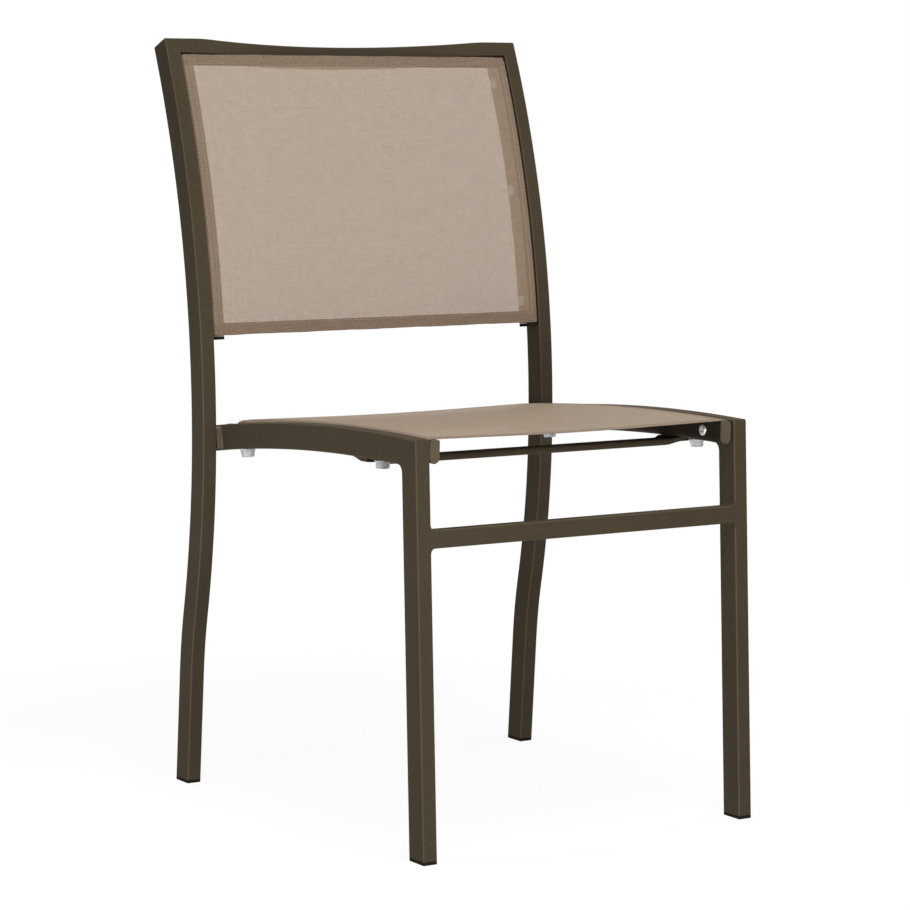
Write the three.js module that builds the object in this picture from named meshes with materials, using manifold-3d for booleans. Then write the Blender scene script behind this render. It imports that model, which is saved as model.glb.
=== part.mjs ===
// Stacking patio chair with stretched sling seat and back, in millimetres, +Z up.
// The sitter faces -Y and +X is at the right of someone looking along +Y.
// The origin is on the floor, under the middle of the chair's box.
import * as THREE from 'three';
import { mergeVertices } from 'three/addons/utils/BufferGeometryUtils.js';
import Module from 'manifold-3d';

const wasm = await Module();
wasm.setup();

// Overall size
const legSpan = 441;
const footSpacing = 486;

// Rectangular frame tube, its long side fore and aft
const tubeWidth = 18;
const tubeDepth = 30;
const tubeCorner = 2.2;
const tubeWall = 1.6;
const weldGap = 0.3;

// Upright side profile from the floor up, angles in degrees from vertical
const rearFootAngle = 4;
const rearFootLength = 136;
const kneeRadius = 535;
const kneeAngle = 11.6;
const rearLegRadius = 1026;
const backRadius = 1178;
const backHeight = 439.5;

// Top rail, bowed back in its own plane between straight ends
const topRailEndLength = 32;
const topRailEaseRadius = 80;
const topRailRadius = 880;

// Front leg, leaning back as it rises, in degrees from vertical
const frontLegAngle = 2.7;

// Seat rail, crowned along its length, its rear end beside the upright
const seatCrownY = 70.4;
const seatRailHeight = 440.5;
const seatRailRadius = 2700;
const seatRailRearInset = 1.5;
const cornerFillet = 9;
const spacerWidth = 8;
const spacerFrontInset = 1.5;
const spacerHeight = 28;
const spacerFillet = 2.2;
const endPlugFlange = 2;
const endPlugLength = 20;
const endPlugClearance = 0.4;

// Cross tubes between the legs and between the seat rails
const crossTubeHeight = 20;
const crossTubeDepth = 18;
const crossTubeCorner = 2;
const stretcherDrop = 93.1;
const crossFillet = 5.5;
const filletToeAngle = 10;
const filletGap = 0.5;
const filletInset = 0.4;
const rearCrossRise = 1.7;

// Spreader bar, a flat oval tube with squashed ends under the seat rails
const spreaderReach = 105.6;
const spreaderWidth = 30;
const spreaderThickness = 7;
const spreaderDrop = 1.5;
const spreaderWall = 1.5;
const spreaderEndWidth = 42;
const spreaderEndThickness = 4.5;
const spreaderEndLength = 14;
const spreaderTipWidth = 30;
const spreaderTipLength = 7;
const spreaderFlareLength = 16;
const spreaderEndInset = 3.5;

// Sling rail extrusion
const slingRailWidth = 12.7;
const slingRailDepth = 25.4;
const slingRailWall = 1.5;
const slingRailEdge = 1.5;
const slingRailRound = 4;
const slingRailGap = 1.8;
const channelRadius = 3.4;
const channelDepth = 5.2;
const channelInset = 0.4;
const slotHeight = 2.2;

// Sling fabric and its spline rods
const fabricThickness = 1;
const fabricClearance = 0.3;
const rodRadius = 1.6;
const pocketRadius = 1.9;
const rodInset = 0.6;

// Seat sling
const seatSlingRadius = 3300;
const seatSlingRise = 0.5;
const seatRailSetback = 6.7;
const seatSlingRearGap = 9.1;
const seatFabricFrontInset = 1;
const seatFabricRearInset = 2.6;

// Back sling
const backSlingInset = 0.3;
const backRailLength = 333.2;
const backRailTopGap = 3.3;
const backFabricBottomInset = 0.7;
const backFabricTopInset = 0.4;

// End caps of the sling rails
const frontCapThickness = 3;
const rearCapThickness = 2.4;
const bottomPlugThickness = 3.8;
const topPlugThickness = 2.4;
const capTongueLength = 12;
const capClearance = 0.3;
const capOverhang = 0.15;

// Pan head screws that hold the sling rails
const screwHeadRadius = 6.5;
const screwHeadHeight = 2.6;
const screwHeadEdge = 0.9;
const screwRadius = 2.5;
const screwHoleRadius = 2.8;
const screwReach = 4;
const socketRadius = 2.3;
const socketDepth = 1.5;
const seatScrewInset = 31;
const backScrewInset = 28;

// Countersunk screws of the spreader bar
const flatHeadRadius = 4.4;
const flatHeadHeight = 2.2;
const flatScrewRadius = 2;
const flatScrewReach = 5;
const flatScrewClearance = 0.3;
const flatSocketRadius = 1.5;
const flatSocketDepth = 1.2;

// Stacking bumpers pressed into the underside of the seat rails
const bumperTopRadius = 8.75;
const bumperFootRadius = 7.3;
const bumperHeight = 9;
const bumperEdge = 1;
const bumperStemRadius = 2.6;
const bumperStemLength = 8;
const bumperHoleRadius = 2.9;
const bumperFrontReach = 66.6;
const bumperRearReach = 56.6;

// Floor glides
const glideHeight = 4;
const glidePlugLength = 22;
const glideClearance = 0.4;

// Mesh fineness, and one overrun for all cuts
const curveTolerance = 0.2;
const cornerSteps = 2;
const channelSteps = 7;
const roundSides = 12;
const socketSides = 6;
const cutOverrun = 2;

const degree = Math.PI / 180;
const halfTurn = Math.PI;
const quarterTurn = Math.PI / 2;

const acrossAxis = new THREE.Vector3(1, 0, 0);
const inwardAxis = new THREE.Vector3(-1, 0, 0);
const rearAxis = new THREE.Vector3(0, 1, 0);
const upAxis = new THREE.Vector3(0, 0, 1);
const downAxis = new THREE.Vector3(0, 0, -1);

const legX = legSpan / 2 - tubeWidth / 2;
const uprightX = legX + tubeWidth + spacerWidth;
const seatRailInnerX = legSpan / 2 - tubeWidth;
const cutReach = 4 * tubeDepth;
const uprightInnerX = legSpan / 2 + spacerWidth;

// Materials
const bronzePaint = new THREE.MeshStandardMaterial({ color: 0x40382d, roughness: 0.45, metalness: 0.35 });
const slingRailPaint = new THREE.MeshStandardMaterial({ color: 0x3a332a, roughness: 0.5, metalness: 0.35 });
const capPlastic = new THREE.MeshStandardMaterial({ color: 0x5f5646, roughness: 0.55, metalness: 0 });
const blackPlastic = new THREE.MeshStandardMaterial({ color: 0x1f1c18, roughness: 0.6, metalness: 0 });
const slingFabric = new THREE.MeshStandardMaterial({ color: 0xa18e78, roughness: 0.9, metalness: 0 });
const rodVinyl = new THREE.MeshStandardMaterial({ color: 0xd8d4c8, roughness: 0.5, metalness: 0 });
const zincSteel = new THREE.MeshStandardMaterial({ color: 0x9a9a96, roughness: 0.35, metalness: 0.9 });
const bumperPlastic = new THREE.MeshStandardMaterial({ color: 0xc4c3c2, roughness: 0.25, metalness: 0 });

const chair = new THREE.Group();

function addPiece(name, geometry, material) {
  const mesh = new THREE.Mesh(geometry, material);
  mesh.name = name;
  chair.add(mesh);
}

// The right piece is the one at +X, and the left piece mirrors it.
function addPair(name, geometry, material) {
  addPiece(`${name}_right`, geometry, material);
  addPiece(`${name}_left`, mirrored(geometry), material);
}

function mirrored(geometry) {
  const copy = geometry.clone();
  copy.scale(-1, 1, 1);
  const index = copy.index.array;
  for (let i = 0; i < index.length; i += 3) {
    [index[i], index[i + 1]] = [index[i + 1], index[i]];
  }
  return copy;
}

function welded(geometry) {
  const copy = geometry.clone();
  copy.deleteAttribute('normal');
  copy.deleteAttribute('uv');
  return mergeVertices(copy);
}

// Joins and cuts
function solidOf(geometry) {
  const mesh = welded(geometry);
  return new wasm.Manifold(new wasm.Mesh({
    numProp: 3,
    vertProperties: Float32Array.from(mesh.attributes.position.array),
    triVerts: Uint32Array.from(mesh.index.array),
  }));
}

function geometryOf(solid) {
  const mesh = solid.getMesh();
  const geometry = new THREE.BufferGeometry();
  geometry.setAttribute('position', new THREE.BufferAttribute(mesh.vertProperties, 3));
  geometry.setIndex(new THREE.BufferAttribute(mesh.triVerts, 1));
  return geometry;
}

function cut(geometry, ...tools) {
  const result = tools.reduce((solid, tool) => solid.subtract(solidOf(tool)), solidOf(geometry));
  return geometryOf(result);
}

function join(geometry, ...others) {
  const result = others.reduce((solid, other) => solid.add(solidOf(other)), solidOf(geometry));
  return geometryOf(result);
}

// Flat outlines
function arcPoints(x, y, radius, start, end, steps) {
  const points = [];
  for (let i = 0; i <= steps; i += 1) {
    const angle = start + (end - start) * (i / steps);
    points.push(new THREE.Vector2(x + radius * Math.cos(angle), y + radius * Math.sin(angle)));
  }
  return points;
}

function roundedRectangle(width, height, radius) {
  const x = width / 2 - radius;
  const y = height / 2 - radius;
  return [
    ...arcPoints(x, y, radius, 0, quarterTurn, cornerSteps),
    ...arcPoints(-x, y, radius, quarterTurn, halfTurn, cornerSteps),
    ...arcPoints(-x, -y, radius, halfTurn, 3 * quarterTurn, cornerSteps),
    ...arcPoints(x, -y, radius, 3 * quarterTurn, 2 * halfTurn, cornerSteps),
  ];
}

function rectangle(width, height) {
  const x = width / 2;
  const y = height / 2;
  return [
    new THREE.Vector2(x, y),
    new THREE.Vector2(-x, y),
    new THREE.Vector2(-x, -y),
    new THREE.Vector2(x, -y),
  ];
}

function shapeOf(outline, ...holes) {
  const shape = new THREE.Shape(outline);
  shape.holes = holes.map((hole) => new THREE.Path(hole));
  return shape;
}

function tubeShape(width, depth, corner, wall) {
  return shapeOf(roundedRectangle(width, depth, corner), rectangle(width - 2 * wall, depth - 2 * wall));
}

// A route is a list of stations, each with its place, its heading and the two axes
// of the section there: wide, and deep = heading x wide.
class Route {
  constructor(place, heading, wide) {
    this.place = place.clone();
    this.heading = heading.clone().normalize();
    this.wide = wide.clone().normalize();
    this.stations = [];
    this.mark();
  }

  mark() {
    this.stations.push({
      place: this.place.clone(),
      heading: this.heading.clone(),
      wide: this.wide.clone(),
      deep: new THREE.Vector3().crossVectors(this.heading, this.wide),
    });
  }

  go(length) {
    this.place.addScaledVector(this.heading, length);
    this.mark();
    return this;
  }

  // Turns about an axis through the bend's centre, at the given radius
  turn(axis, radius, angle) {
    const steps = Math.ceil(Math.abs(angle) / (2 * Math.acos(1 - curveTolerance / radius)));
    const toCentre = new THREE.Vector3().crossVectors(axis, this.heading);
    const centre = this.place.clone().addScaledVector(toCentre, Math.sign(angle) * radius);
    for (let i = 0; i < steps; i += 1) {
      this.place.sub(centre).applyAxisAngle(axis, angle / steps).add(centre);
      this.heading.applyAxisAngle(axis, angle / steps);
      this.wide.applyAxisAngle(axis, angle / steps);
      this.mark();
    }
    return this;
  }
}

// Lays a section along a route; its x runs along wide and its y along deep.
function lay(shape, route, sizeAt = () => [1, 1]) {
  const { stations } = route;
  const steps = stations.length - 1;
  const geometry = welded(new THREE.ExtrudeGeometry(shape, { depth: 1, steps, bevelEnabled: false }));
  const position = geometry.attributes.position;
  for (let i = 0; i < position.count; i += 1) {
    const number = Math.round(position.getZ(i) * steps);
    const station = stations[number];
    const [wideScale, deepScale] = sizeAt(number);
    const point = station.place.clone();
    point.addScaledVector(station.wide, position.getX(i) * wideScale);
    point.addScaledVector(station.deep, position.getY(i) * deepScale);
    position.setXYZ(i, point.x, point.y, point.z);
  }
  return geometry;
}

// A block with one face through a point, on the side that the normal points to
function halfSpace(point, normal, reach) {
  const block = new THREE.BoxGeometry(reach, reach, reach);
  block.translate(0, 0, reach / 2);
  block.applyQuaternion(new THREE.Quaternion().setFromUnitVectors(upAxis, normal));
  block.translate(point.x, point.y, point.z);
  return block;
}

// A round bar from one point along a direction
function bar(point, direction, radius, length, sides = roundSides) {
  const cylinder = new THREE.CylinderGeometry(radius, radius, length, sides);
  cylinder.translate(0, length / 2, 0);
  cylinder.applyQuaternion(new THREE.Quaternion().setFromUnitVectors(rearAxis, direction));
  cylinder.translate(point.x, point.y, point.z);
  return cylinder;
}

// A turned piece: its profile is radius and height, its axis points along a direction
function turned(profile, point, direction) {
  const geometry = new THREE.LatheGeometry(profile.map(([r, h]) => new THREE.Vector2(r, h)), roundSides);
  geometry.applyQuaternion(new THREE.Quaternion().setFromUnitVectors(rearAxis, direction));
  geometry.translate(point.x, point.y, point.z);
  return geometry;
}

// Side directions
function leaning(lean) {
  return new THREE.Vector3(0, Math.sin(lean), Math.cos(lean));
}

function sidePoint(x, y, z) {
  return new THREE.Vector3(x, y, z);
}

// Upright route: straight foot, knee, rear leg and back, with the top corner's lean
// found so that the top rail's front edge is the back's height above the seat rail.
const rearFootLean = rearFootAngle * degree;
const kneeLean = kneeAngle * degree;
const uprightRoute = new Route(sidePoint(uprightX, footSpacing, 0), leaning(-rearFootLean), acrossAxis);
uprightRoute.go(rearFootLength);
uprightRoute.turn(acrossAxis, kneeRadius, kneeLean - rearFootLean);
uprightRoute.turn(acrossAxis, rearLegRadius, -kneeLean);
const waistPoint = uprightRoute.place.clone();
const cornerReach = backRadius + tubeDepth / 2 - tubeCorner;
const cornerRise = tubeWidth / 2 - tubeCorner;
const topRise = seatRailHeight + backHeight - tubeCorner - waistPoint.z;
const cornerLean = Math.atan2(cornerRise, cornerReach);
const topLean = Math.asin(topRise / Math.hypot(cornerReach, cornerRise)) - cornerLean;
uprightRoute.turn(acrossAxis, backRadius, -topLean);
const topCorner = uprightRoute.place.clone();
const topAlong = leaning(topLean);
uprightRoute.go(tubeWidth);

const backCentre = waistPoint.clone().addScaledVector(rearAxis, backRadius);

// A point beside the back, at a lean and at a distance in front of the upright's middle
function backPoint(x, lean, forward) {
  const radius = backRadius + forward;
  return sidePoint(x, backCentre.y - radius * Math.cos(lean), backCentre.z + radius * Math.sin(lean));
}

// Front leg and seat rail meet in a mitre at the front corner.
const legLean = frontLegAngle * degree;
const legAlong = leaning(legLean);
const legRear = new THREE.Vector3(0, legAlong.z, -legAlong.y);

function crownDrop(y, radius) {
  return radius - Math.sqrt(radius ** 2 - (y - seatCrownY) ** 2);
}

function crownSlope(y, radius) {
  return Math.asin((seatCrownY - y) / radius);
}

function crownPoint(x, y, height, radius) {
  return sidePoint(x, y, height - crownDrop(y, radius));
}

function crownHeading(y, radius) {
  const slope = crownSlope(y, radius);
  return new THREE.Vector3(0, Math.cos(slope), Math.sin(slope));
}

// Repeats a step until its value settles
function settle(start, next) {
  let value = start;
  for (let i = 0; i < 8; i += 1) {
    value = next(value);
  }
  return value;
}

const cornerY = settle(0, (y) => Math.tan(legLean) * (seatRailHeight - crownDrop(y, seatRailRadius)));
const cornerPoint = crownPoint(legX, cornerY, seatRailHeight, seatRailRadius);
const cornerHeading = crownHeading(cornerY, seatRailRadius);
const cornerNormal = legAlong.clone().add(cornerHeading).normalize();

// Places along the seat rail
const spreaderY = cornerY + spreaderReach;
const bumperYs = [cornerY + bumperFrontReach, waistPoint.y - bumperRearReach];

// The seat rail ends just before the upright's rear face.
const railEndY = waistPoint.y + tubeDepth / 2 - seatRailRearInset;
const spacerFrontY = waistPoint.y - tubeDepth / 2 + spacerFrontInset;

function seatRailRoute(x, startY, endY) {
  const route = new Route(
    crownPoint(x, startY, seatRailHeight, seatRailRadius),
    crownHeading(startY, seatRailRadius),
    acrossAxis,
  );
  const sweep = crownSlope(startY, seatRailRadius) - crownSlope(endY, seatRailRadius);
  return route.turn(acrossAxis, seatRailRadius, -sweep);
}

// What is fixed under the rail stays clear of its flat facets.
const undersideGap = weldGap + curveTolerance;

// The face under the rail at a place along it, pointing down
function railUnderside(x, y) {
  const heading = crownHeading(y, seatRailRadius);
  const down = new THREE.Vector3().crossVectors(heading, acrossAxis);
  const point = crownPoint(x, y, seatRailHeight, seatRailRadius).addScaledVector(down, tubeDepth / 2);
  return { point, down, heading };
}

// Sling rail places
const seatSlingRailX = seatRailInnerX - slingRailGap - slingRailWidth / 2;
const backSlingRailX = uprightInnerX - slingRailGap - slingRailWidth / 2;
const fabricStack = fabricThickness + fabricClearance;
const backRailForward = tubeDepth / 2 - backSlingInset - fabricStack - slingRailDepth / 2;
const legFrontY = cornerPoint.y - tubeDepth / 2;
const seatSlingHeight = seatRailHeight + seatSlingRise;
const seatSlingFrontY = legFrontY + seatRailSetback;
const seatSlingRearY = waistPoint.y - crossTubeDepth / 2 - seatSlingRearGap;
const seatSlingMiddleY = (seatSlingFrontY + seatSlingRearY) / 2;
const seatScrewYs = [seatSlingFrontY + seatScrewInset, seatSlingMiddleY, seatSlingRearY - seatScrewInset];
const backTopLean = topLean - (tubeWidth / 2 + backRailTopGap) / backRadius;
const backBottomLean = backTopLean - backRailLength / backRadius;
const backMiddleLean = (backBottomLean + backTopLean) / 2;
const backScrewTurn = backScrewInset / backRadius;
const backScrewLeans = [backBottomLean + backScrewTurn, backMiddleLean, backTopLean - backScrewTurn];
const chamberTop = slingRailDepth / 2 - channelDepth - channelRadius - slingRailWall;

function seatScrewPoint(y) {
  return crownPoint(seatSlingRailX, y, seatSlingHeight, seatSlingRadius);
}

function backScrewPoint(lean) {
  return backPoint(backSlingRailX, lean, backRailForward);
}

// Holes along X through a wall, seen from the sling rail's middle
function sideHole(point, start, length) {
  return bar(point.clone().setX(start), acrossAxis, screwHoleRadius, length);
}

function wallHole(point, wallX) {
  return sideHole(point, wallX - cutOverrun, tubeWall + 2 * cutOverrun);
}

// A hole up through the rail's lower wall
function undersideHole(y, radius) {
  const { point, down } = railUnderside(legX, y);
  const start = point.clone().addScaledVector(down, cutOverrun);
  return bar(start, down.clone().negate(), radius, tubeWall + 2 * cutOverrun);
}

const frameTube = tubeShape(tubeWidth, tubeDepth, tubeCorner, tubeWall);

function upright() {
  const tube = lay(frameTube, uprightRoute);
  const floorCut = halfSpace(sidePoint(uprightX, footSpacing, glideHeight), downAxis, cutReach);
  const mitre = topAlong.clone().sub(acrossAxis).normalize();
  const mitrePoint = topCorner.clone().addScaledVector(mitre, -weldGap / 2);
  const topCut = halfSpace(mitrePoint, mitre, cutReach);
  const holes = backScrewLeans.map((lean) => wallHole(backScrewPoint(lean), uprightInnerX));
  return cut(tube, floorCut, topCut, ...holes);
}

function topRail() {
  const reach = uprightX - topRailEndLength;
  const sweep = Math.asin(reach / (topRailRadius + topRailEaseRadius));
  const start = topCorner.clone().setX(-uprightX - tubeWidth);
  const route = new Route(start, acrossAxis, topAlong);
  route.go(tubeWidth + topRailEndLength);
  route.turn(topAlong, topRailEaseRadius, sweep);
  route.turn(topAlong, topRailRadius, -2 * sweep);
  route.turn(topAlong, topRailEaseRadius, sweep);
  route.go(tubeWidth + topRailEndLength);
  const tube = lay(frameTube, route);
  const mitres = [1, -1].map((side) => {
    const normal = acrossAxis.clone().multiplyScalar(side).sub(topAlong).normalize();
    const point = topCorner.clone().setX(side * uprightX).addScaledVector(normal, -weldGap / 2);
    return halfSpace(point, normal, cutReach);
  });
  return cut(tube, ...mitres);
}

function frontLeg() {
  const start = sidePoint(legX, 0, 0);
  const route = new Route(start, legAlong, acrossAxis);
  route.go(cornerPoint.distanceTo(start) + tubeDepth);
  const tube = lay(frameTube, route);
  const floorCut = halfSpace(sidePoint(legX, 0, glideHeight), downAxis, cutReach);
  const mitrePoint = cornerPoint.clone().addScaledVector(cornerNormal, -weldGap / 2);
  return cut(tube, floorCut, halfSpace(mitrePoint, cornerNormal, cutReach));
}

// A weld bead with a hollow round face in the corner of two faces. It stays clear of the
// face that alongA leaves and sinks into the face that alongB leaves.
function filletBead(radius, length, corner, alongA, alongB) {
  const toe = filletToeAngle * degree;
  const centreX = radius + filletGap;
  const start = 3 * quarterTurn - toe;
  const face = arcPoints(centreX, radius, radius, start, halfTurn + toe, 2 * cornerSteps);
  const outline = [
    new THREE.Vector2(filletGap, -filletGap),
    new THREE.Vector2(face[0].x, -filletGap),
    ...face,
    new THREE.Vector2(filletGap, face.at(-1).y),
  ];
  const shape = new THREE.Shape(outline);
  const bead = new THREE.ExtrudeGeometry(shape, { depth: length, steps: 1, bevelEnabled: false });
  bead.translate(0, 0, -length / 2);
  const alongC = new THREE.Vector3().crossVectors(alongA, alongB);
  bead.applyMatrix4(new THREE.Matrix4().makeBasis(alongA, alongB, alongC));
  bead.translate(corner.x, corner.y, corner.z);
  return bead;
}

function seatRail() {
  const tube = lay(frameTube, seatRailRoute(legX, cornerY - tubeDepth, railEndY));
  const mitrePoint = cornerPoint.clone().addScaledVector(cornerNormal, weldGap / 2);
  const mitre = halfSpace(mitrePoint, cornerNormal.clone().negate(), cutReach);
  const slingHoles = seatScrewYs.map((y) => wallHole(seatScrewPoint(y), seatRailInnerX));
  const bumperHoles = bumperYs.map((y) => undersideHole(y, bumperHoleRadius));
  const spreaderHole = undersideHole(spreaderY, flatScrewRadius + flatScrewClearance);
  const plain = cut(tube, mitre, ...slingHoles, ...bumperHoles, spreaderHole);
  const cornerDown = new THREE.Vector3().crossVectors(cornerHeading, acrossAxis);
  const innerCorner = cornerPoint.clone();
  innerCorner.addScaledVector(legAlong, tubeDepth / 2 / legAlong.dot(cornerDown));
  innerCorner.addScaledVector(cornerHeading, tubeDepth / 2 / cornerHeading.dot(legRear));
  const bead = filletBead(cornerFillet, tubeWidth - 2 * filletInset, innerCorner, cornerHeading, cornerDown);
  return join(plain, bead);
}

// Spacer block welded between the seat rail and the upright
function railSpacer() {
  const middleX = (legSpan + spacerWidth) / 2;
  const route = seatRailRoute(middleX, spacerFrontY, railEndY);
  const block = lay(new THREE.Shape(rectangle(spacerWidth, spacerHeight)), route);
  const { place, heading } = route.stations[0];
  const beads = [1, -1].map((side) => {
    const corner = place.clone().setX(middleX + side * spacerWidth / 2);
    const inward = acrossAxis.clone().multiplyScalar(-side);
    const length = spacerHeight - 2 * spacerFillet;
    return filletBead(spacerFillet, length, corner, inward, heading.clone().negate());
  });
  return join(block, ...beads);
}

// Plug in the seat rail's open rear end
function railEndPlug() {
  const { place, heading, wide, deep } = seatRailRoute(legX, cornerY, railEndY).stations.at(-1);
  const spread = (outline, from, length) => {
    const stations = [from, from + length].map((along) => ({
      place: place.clone().addScaledVector(heading, along),
      wide,
      deep,
    }));
    return lay(new THREE.Shape(outline), { stations });
  };
  const flange = spread(roundedRectangle(tubeWidth, tubeDepth, tubeCorner), weldGap, endPlugFlange);
  const plugWidth = tubeWidth - 2 * (tubeWall + endPlugClearance);
  const plugDepth = tubeDepth - 2 * (tubeWall + endPlugClearance);
  const plug = spread(rectangle(plugWidth, plugDepth), -endPlugLength, endPlugLength + endPlugFlange);
  return join(flange, plug);
}

function crossTube(route, beads) {
  const shape = tubeShape(crossTubeHeight, crossTubeDepth, crossTubeCorner, tubeWall);
  return join(lay(shape, route), ...beads);
}

function frontStretcher() {
  const length = 2 * (seatRailInnerX - weldGap);
  const along = (seatRailHeight - stretcherDrop) / legAlong.z;
  const middle = legAlong.clone().multiplyScalar(along);
  middle.addScaledVector(legRear, crossTubeDepth / 2 - tubeDepth / 2);
  const start = middle.clone().setX(-length / 2);
  const route = new Route(start, acrossAxis, legAlong);
  route.go(length);
  const beads = [];
  for (const side of [1, -1]) {
    for (const face of [1, -1]) {
      const corner = middle.clone().setX(side * seatRailInnerX);
      corner.addScaledVector(legAlong, face * crossTubeHeight / 2);
      const inward = acrossAxis.clone().multiplyScalar(-side);
      const outward = legAlong.clone().multiplyScalar(face);
      beads.push(filletBead(crossFillet, crossTubeDepth - 2 * filletInset, corner, inward, outward));
    }
  }
  return crossTube(route, beads);
}

function rearCrossRail() {
  const length = 2 * (seatRailInnerX - weldGap);
  const heading = crownHeading(waistPoint.y, seatRailRadius);
  const railUp = new THREE.Vector3().crossVectors(acrossAxis, heading);
  const start = crownPoint(-length / 2, waistPoint.y, seatRailHeight, seatRailRadius);
  start.addScaledVector(railUp, rearCrossRise);
  const route = new Route(start, acrossAxis, railUp);
  route.go(length);
  return crossTube(route, []);
}

// Spreader bar: a flat oval that gets wider and thinner towards its ends
function spreaderLoft(inset, overrun) {
  const { point, down, heading } = railUnderside(0, spreaderY);
  const endX = legSpan / 2 - spreaderEndInset;
  const flatX = endX - spreaderEndLength;
  const flareX = flatX - spreaderFlareLength;
  const half = [
    { x: flareX, share: 0, widest: spreaderWidth },
    { x: (flareX + flatX) / 2, share: 0.5, widest: (spreaderWidth + spreaderEndWidth) / 2 },
    { x: flatX, share: 1, widest: spreaderEndWidth },
    { x: endX - spreaderTipLength, share: 1, widest: spreaderEndWidth },
    { x: endX + overrun, share: 1, widest: spreaderTipWidth },
  ];
  const places = [...half.map((place) => ({ ...place, x: -place.x })).reverse(), ...half];
  const stations = places.map(({ x, share }) => {
    const thickness = THREE.MathUtils.lerp(spreaderThickness, spreaderEndThickness, share);
    const drop = undersideGap + spreaderDrop * (1 - share);
    const place = point.clone().setX(x).addScaledVector(down, drop + thickness / 2);
    return { place, wide: heading, deep: down.clone().negate() };
  });
  const width = spreaderWidth - 2 * inset;
  const thickness = spreaderThickness - 2 * inset;
  const endThickness = spreaderEndThickness - 2 * inset;
  const sizeAt = (number) => [
    (places[number].widest - 2 * inset) / width,
    THREE.MathUtils.lerp(1, endThickness / thickness, places[number].share),
  ];
  const x = (width - thickness) / 2;
  const outline = [
    ...arcPoints(x, 0, thickness / 2, -quarterTurn, quarterTurn, 2 * cornerSteps),
    ...arcPoints(-x, 0, thickness / 2, quarterTurn, 3 * quarterTurn, 2 * cornerSteps),
  ];
  return lay(new THREE.Shape(outline), { stations }, sizeAt);
}

function frontSpreader() {
  const screwHoles = [1, -1].map((side) => flatScrewShape(side, flatScrewClearance));
  return cut(spreaderLoft(0, 0), spreaderLoft(spreaderWall, cutOverrun), ...screwHoles);
}

// Countersunk screw with its head flush below the spreader bar's end
function flatScrewShape(side, clearance) {
  const { point, down } = railUnderside(side * legX, spreaderY);
  const face = point.clone().addScaledVector(down, undersideGap + spreaderEndThickness + clearance);
  const length = spreaderEndThickness + undersideGap + tubeWall + flatScrewReach;
  const profile = [
    [0, 0],
    [flatHeadRadius + clearance, 0],
    [flatHeadRadius + clearance, 2 * clearance],
    [flatScrewRadius + clearance, flatHeadHeight + clearance],
    [flatScrewRadius + clearance, length + clearance],
    [0, length + clearance],
  ];
  const outline = clearance > 0 ? profile : profile.filter((_, i) => i !== 2);
  return turned(outline, face, down.clone().negate());
}

function flatScrew(side) {
  const { point, down } = railUnderside(side * legX, spreaderY);
  const face = point.clone().addScaledVector(down, undersideGap + spreaderEndThickness + cutOverrun);
  const depth = cutOverrun + flatSocketDepth;
  const socket = bar(face, down.clone().negate(), flatSocketRadius, depth, socketSides);
  return cut(flatScrewShape(side, 0), socket);
}

// The sling rail's head: a tight edge at the screws' side and a round one for the fabric
function railHead(x, y) {
  const roundX = slingRailRound - x;
  const roundY = y - slingRailRound;
  return [
    ...arcPoints(x - slingRailEdge, y - slingRailEdge, slingRailEdge, 0, quarterTurn, cornerSteps),
    ...arcPoints(roundX, roundY, slingRailRound, quarterTurn, halfTurn, cornerSteps),
  ];
}

// Sling rail section: x points to the middle of the chair and y to the sitter.
function slingRailShape() {
  const x = slingRailWidth / 2;
  const y = slingRailDepth / 2;
  const channelY = y - channelDepth;
  const slotAngle = Math.asin(slotHeight / 2 / channelRadius);
  const outline = [
    ...arcPoints(0, x - y, x, halfTurn, 2 * halfTurn, 2 * cornerSteps),
    ...railHead(x, y),
    new THREE.Vector2(-x, channelY + slotHeight / 2),
    ...arcPoints(
      channelInset,
      channelY,
      channelRadius,
      halfTurn - slotAngle,
      slotAngle - halfTurn,
      channelSteps,
    ),
    new THREE.Vector2(-x, channelY - slotHeight / 2),
  ];
  const chamberX = x - slingRailWall;
  const chamber = [
    ...arcPoints(0, x - y, chamberX, halfTurn, 2 * halfTurn, 2 * cornerSteps),
    new THREE.Vector2(chamberX, chamberTop),
    new THREE.Vector2(-chamberX, chamberTop),
  ];
  return shapeOf(outline, chamber);
}

// Routes along the seat and along the back, for anything at a distance towards the sitter
function seatRoute(x, frontY, rearY, rise) {
  const radius = seatSlingRadius;
  const startSlope = crownSlope(frontY, radius);
  const heading = crownHeading(frontY, radius);
  const place = crownPoint(x, frontY, seatSlingHeight, radius);
  place.addScaledVector(new THREE.Vector3().crossVectors(acrossAxis, heading), rise);
  const route = new Route(place, heading, inwardAxis);
  route.turn(inwardAxis, radius + rise, startSlope - crownSlope(rearY, radius));
  return route;
}

function backRoute(x, bottomLean, upperLean, forward) {
  const route = new Route(backPoint(x, bottomLean, forward), leaning(bottomLean), inwardAxis);
  route.turn(inwardAxis, backRadius + forward, upperLean - bottomLean);
  return route;
}

function drilled(geometry, points) {
  const holes = points.map((point) => sideHole(
    point,
    point.x - slingRailWidth / 2 - cutOverrun,
    slingRailWidth + 2 * cutOverrun,
  ));
  return cut(geometry, ...holes);
}

function seatSlingRail() {
  const route = seatRoute(seatSlingRailX, seatSlingFrontY, seatSlingRearY, 0);
  return drilled(lay(slingRailShape(), route), seatScrewYs.map(seatScrewPoint));
}

function backSlingRail() {
  const route = backRoute(backSlingRailX, backBottomLean, backTopLean, backRailForward);
  return drilled(lay(slingRailShape(), route), backScrewLeans.map(backScrewPoint));
}

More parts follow.
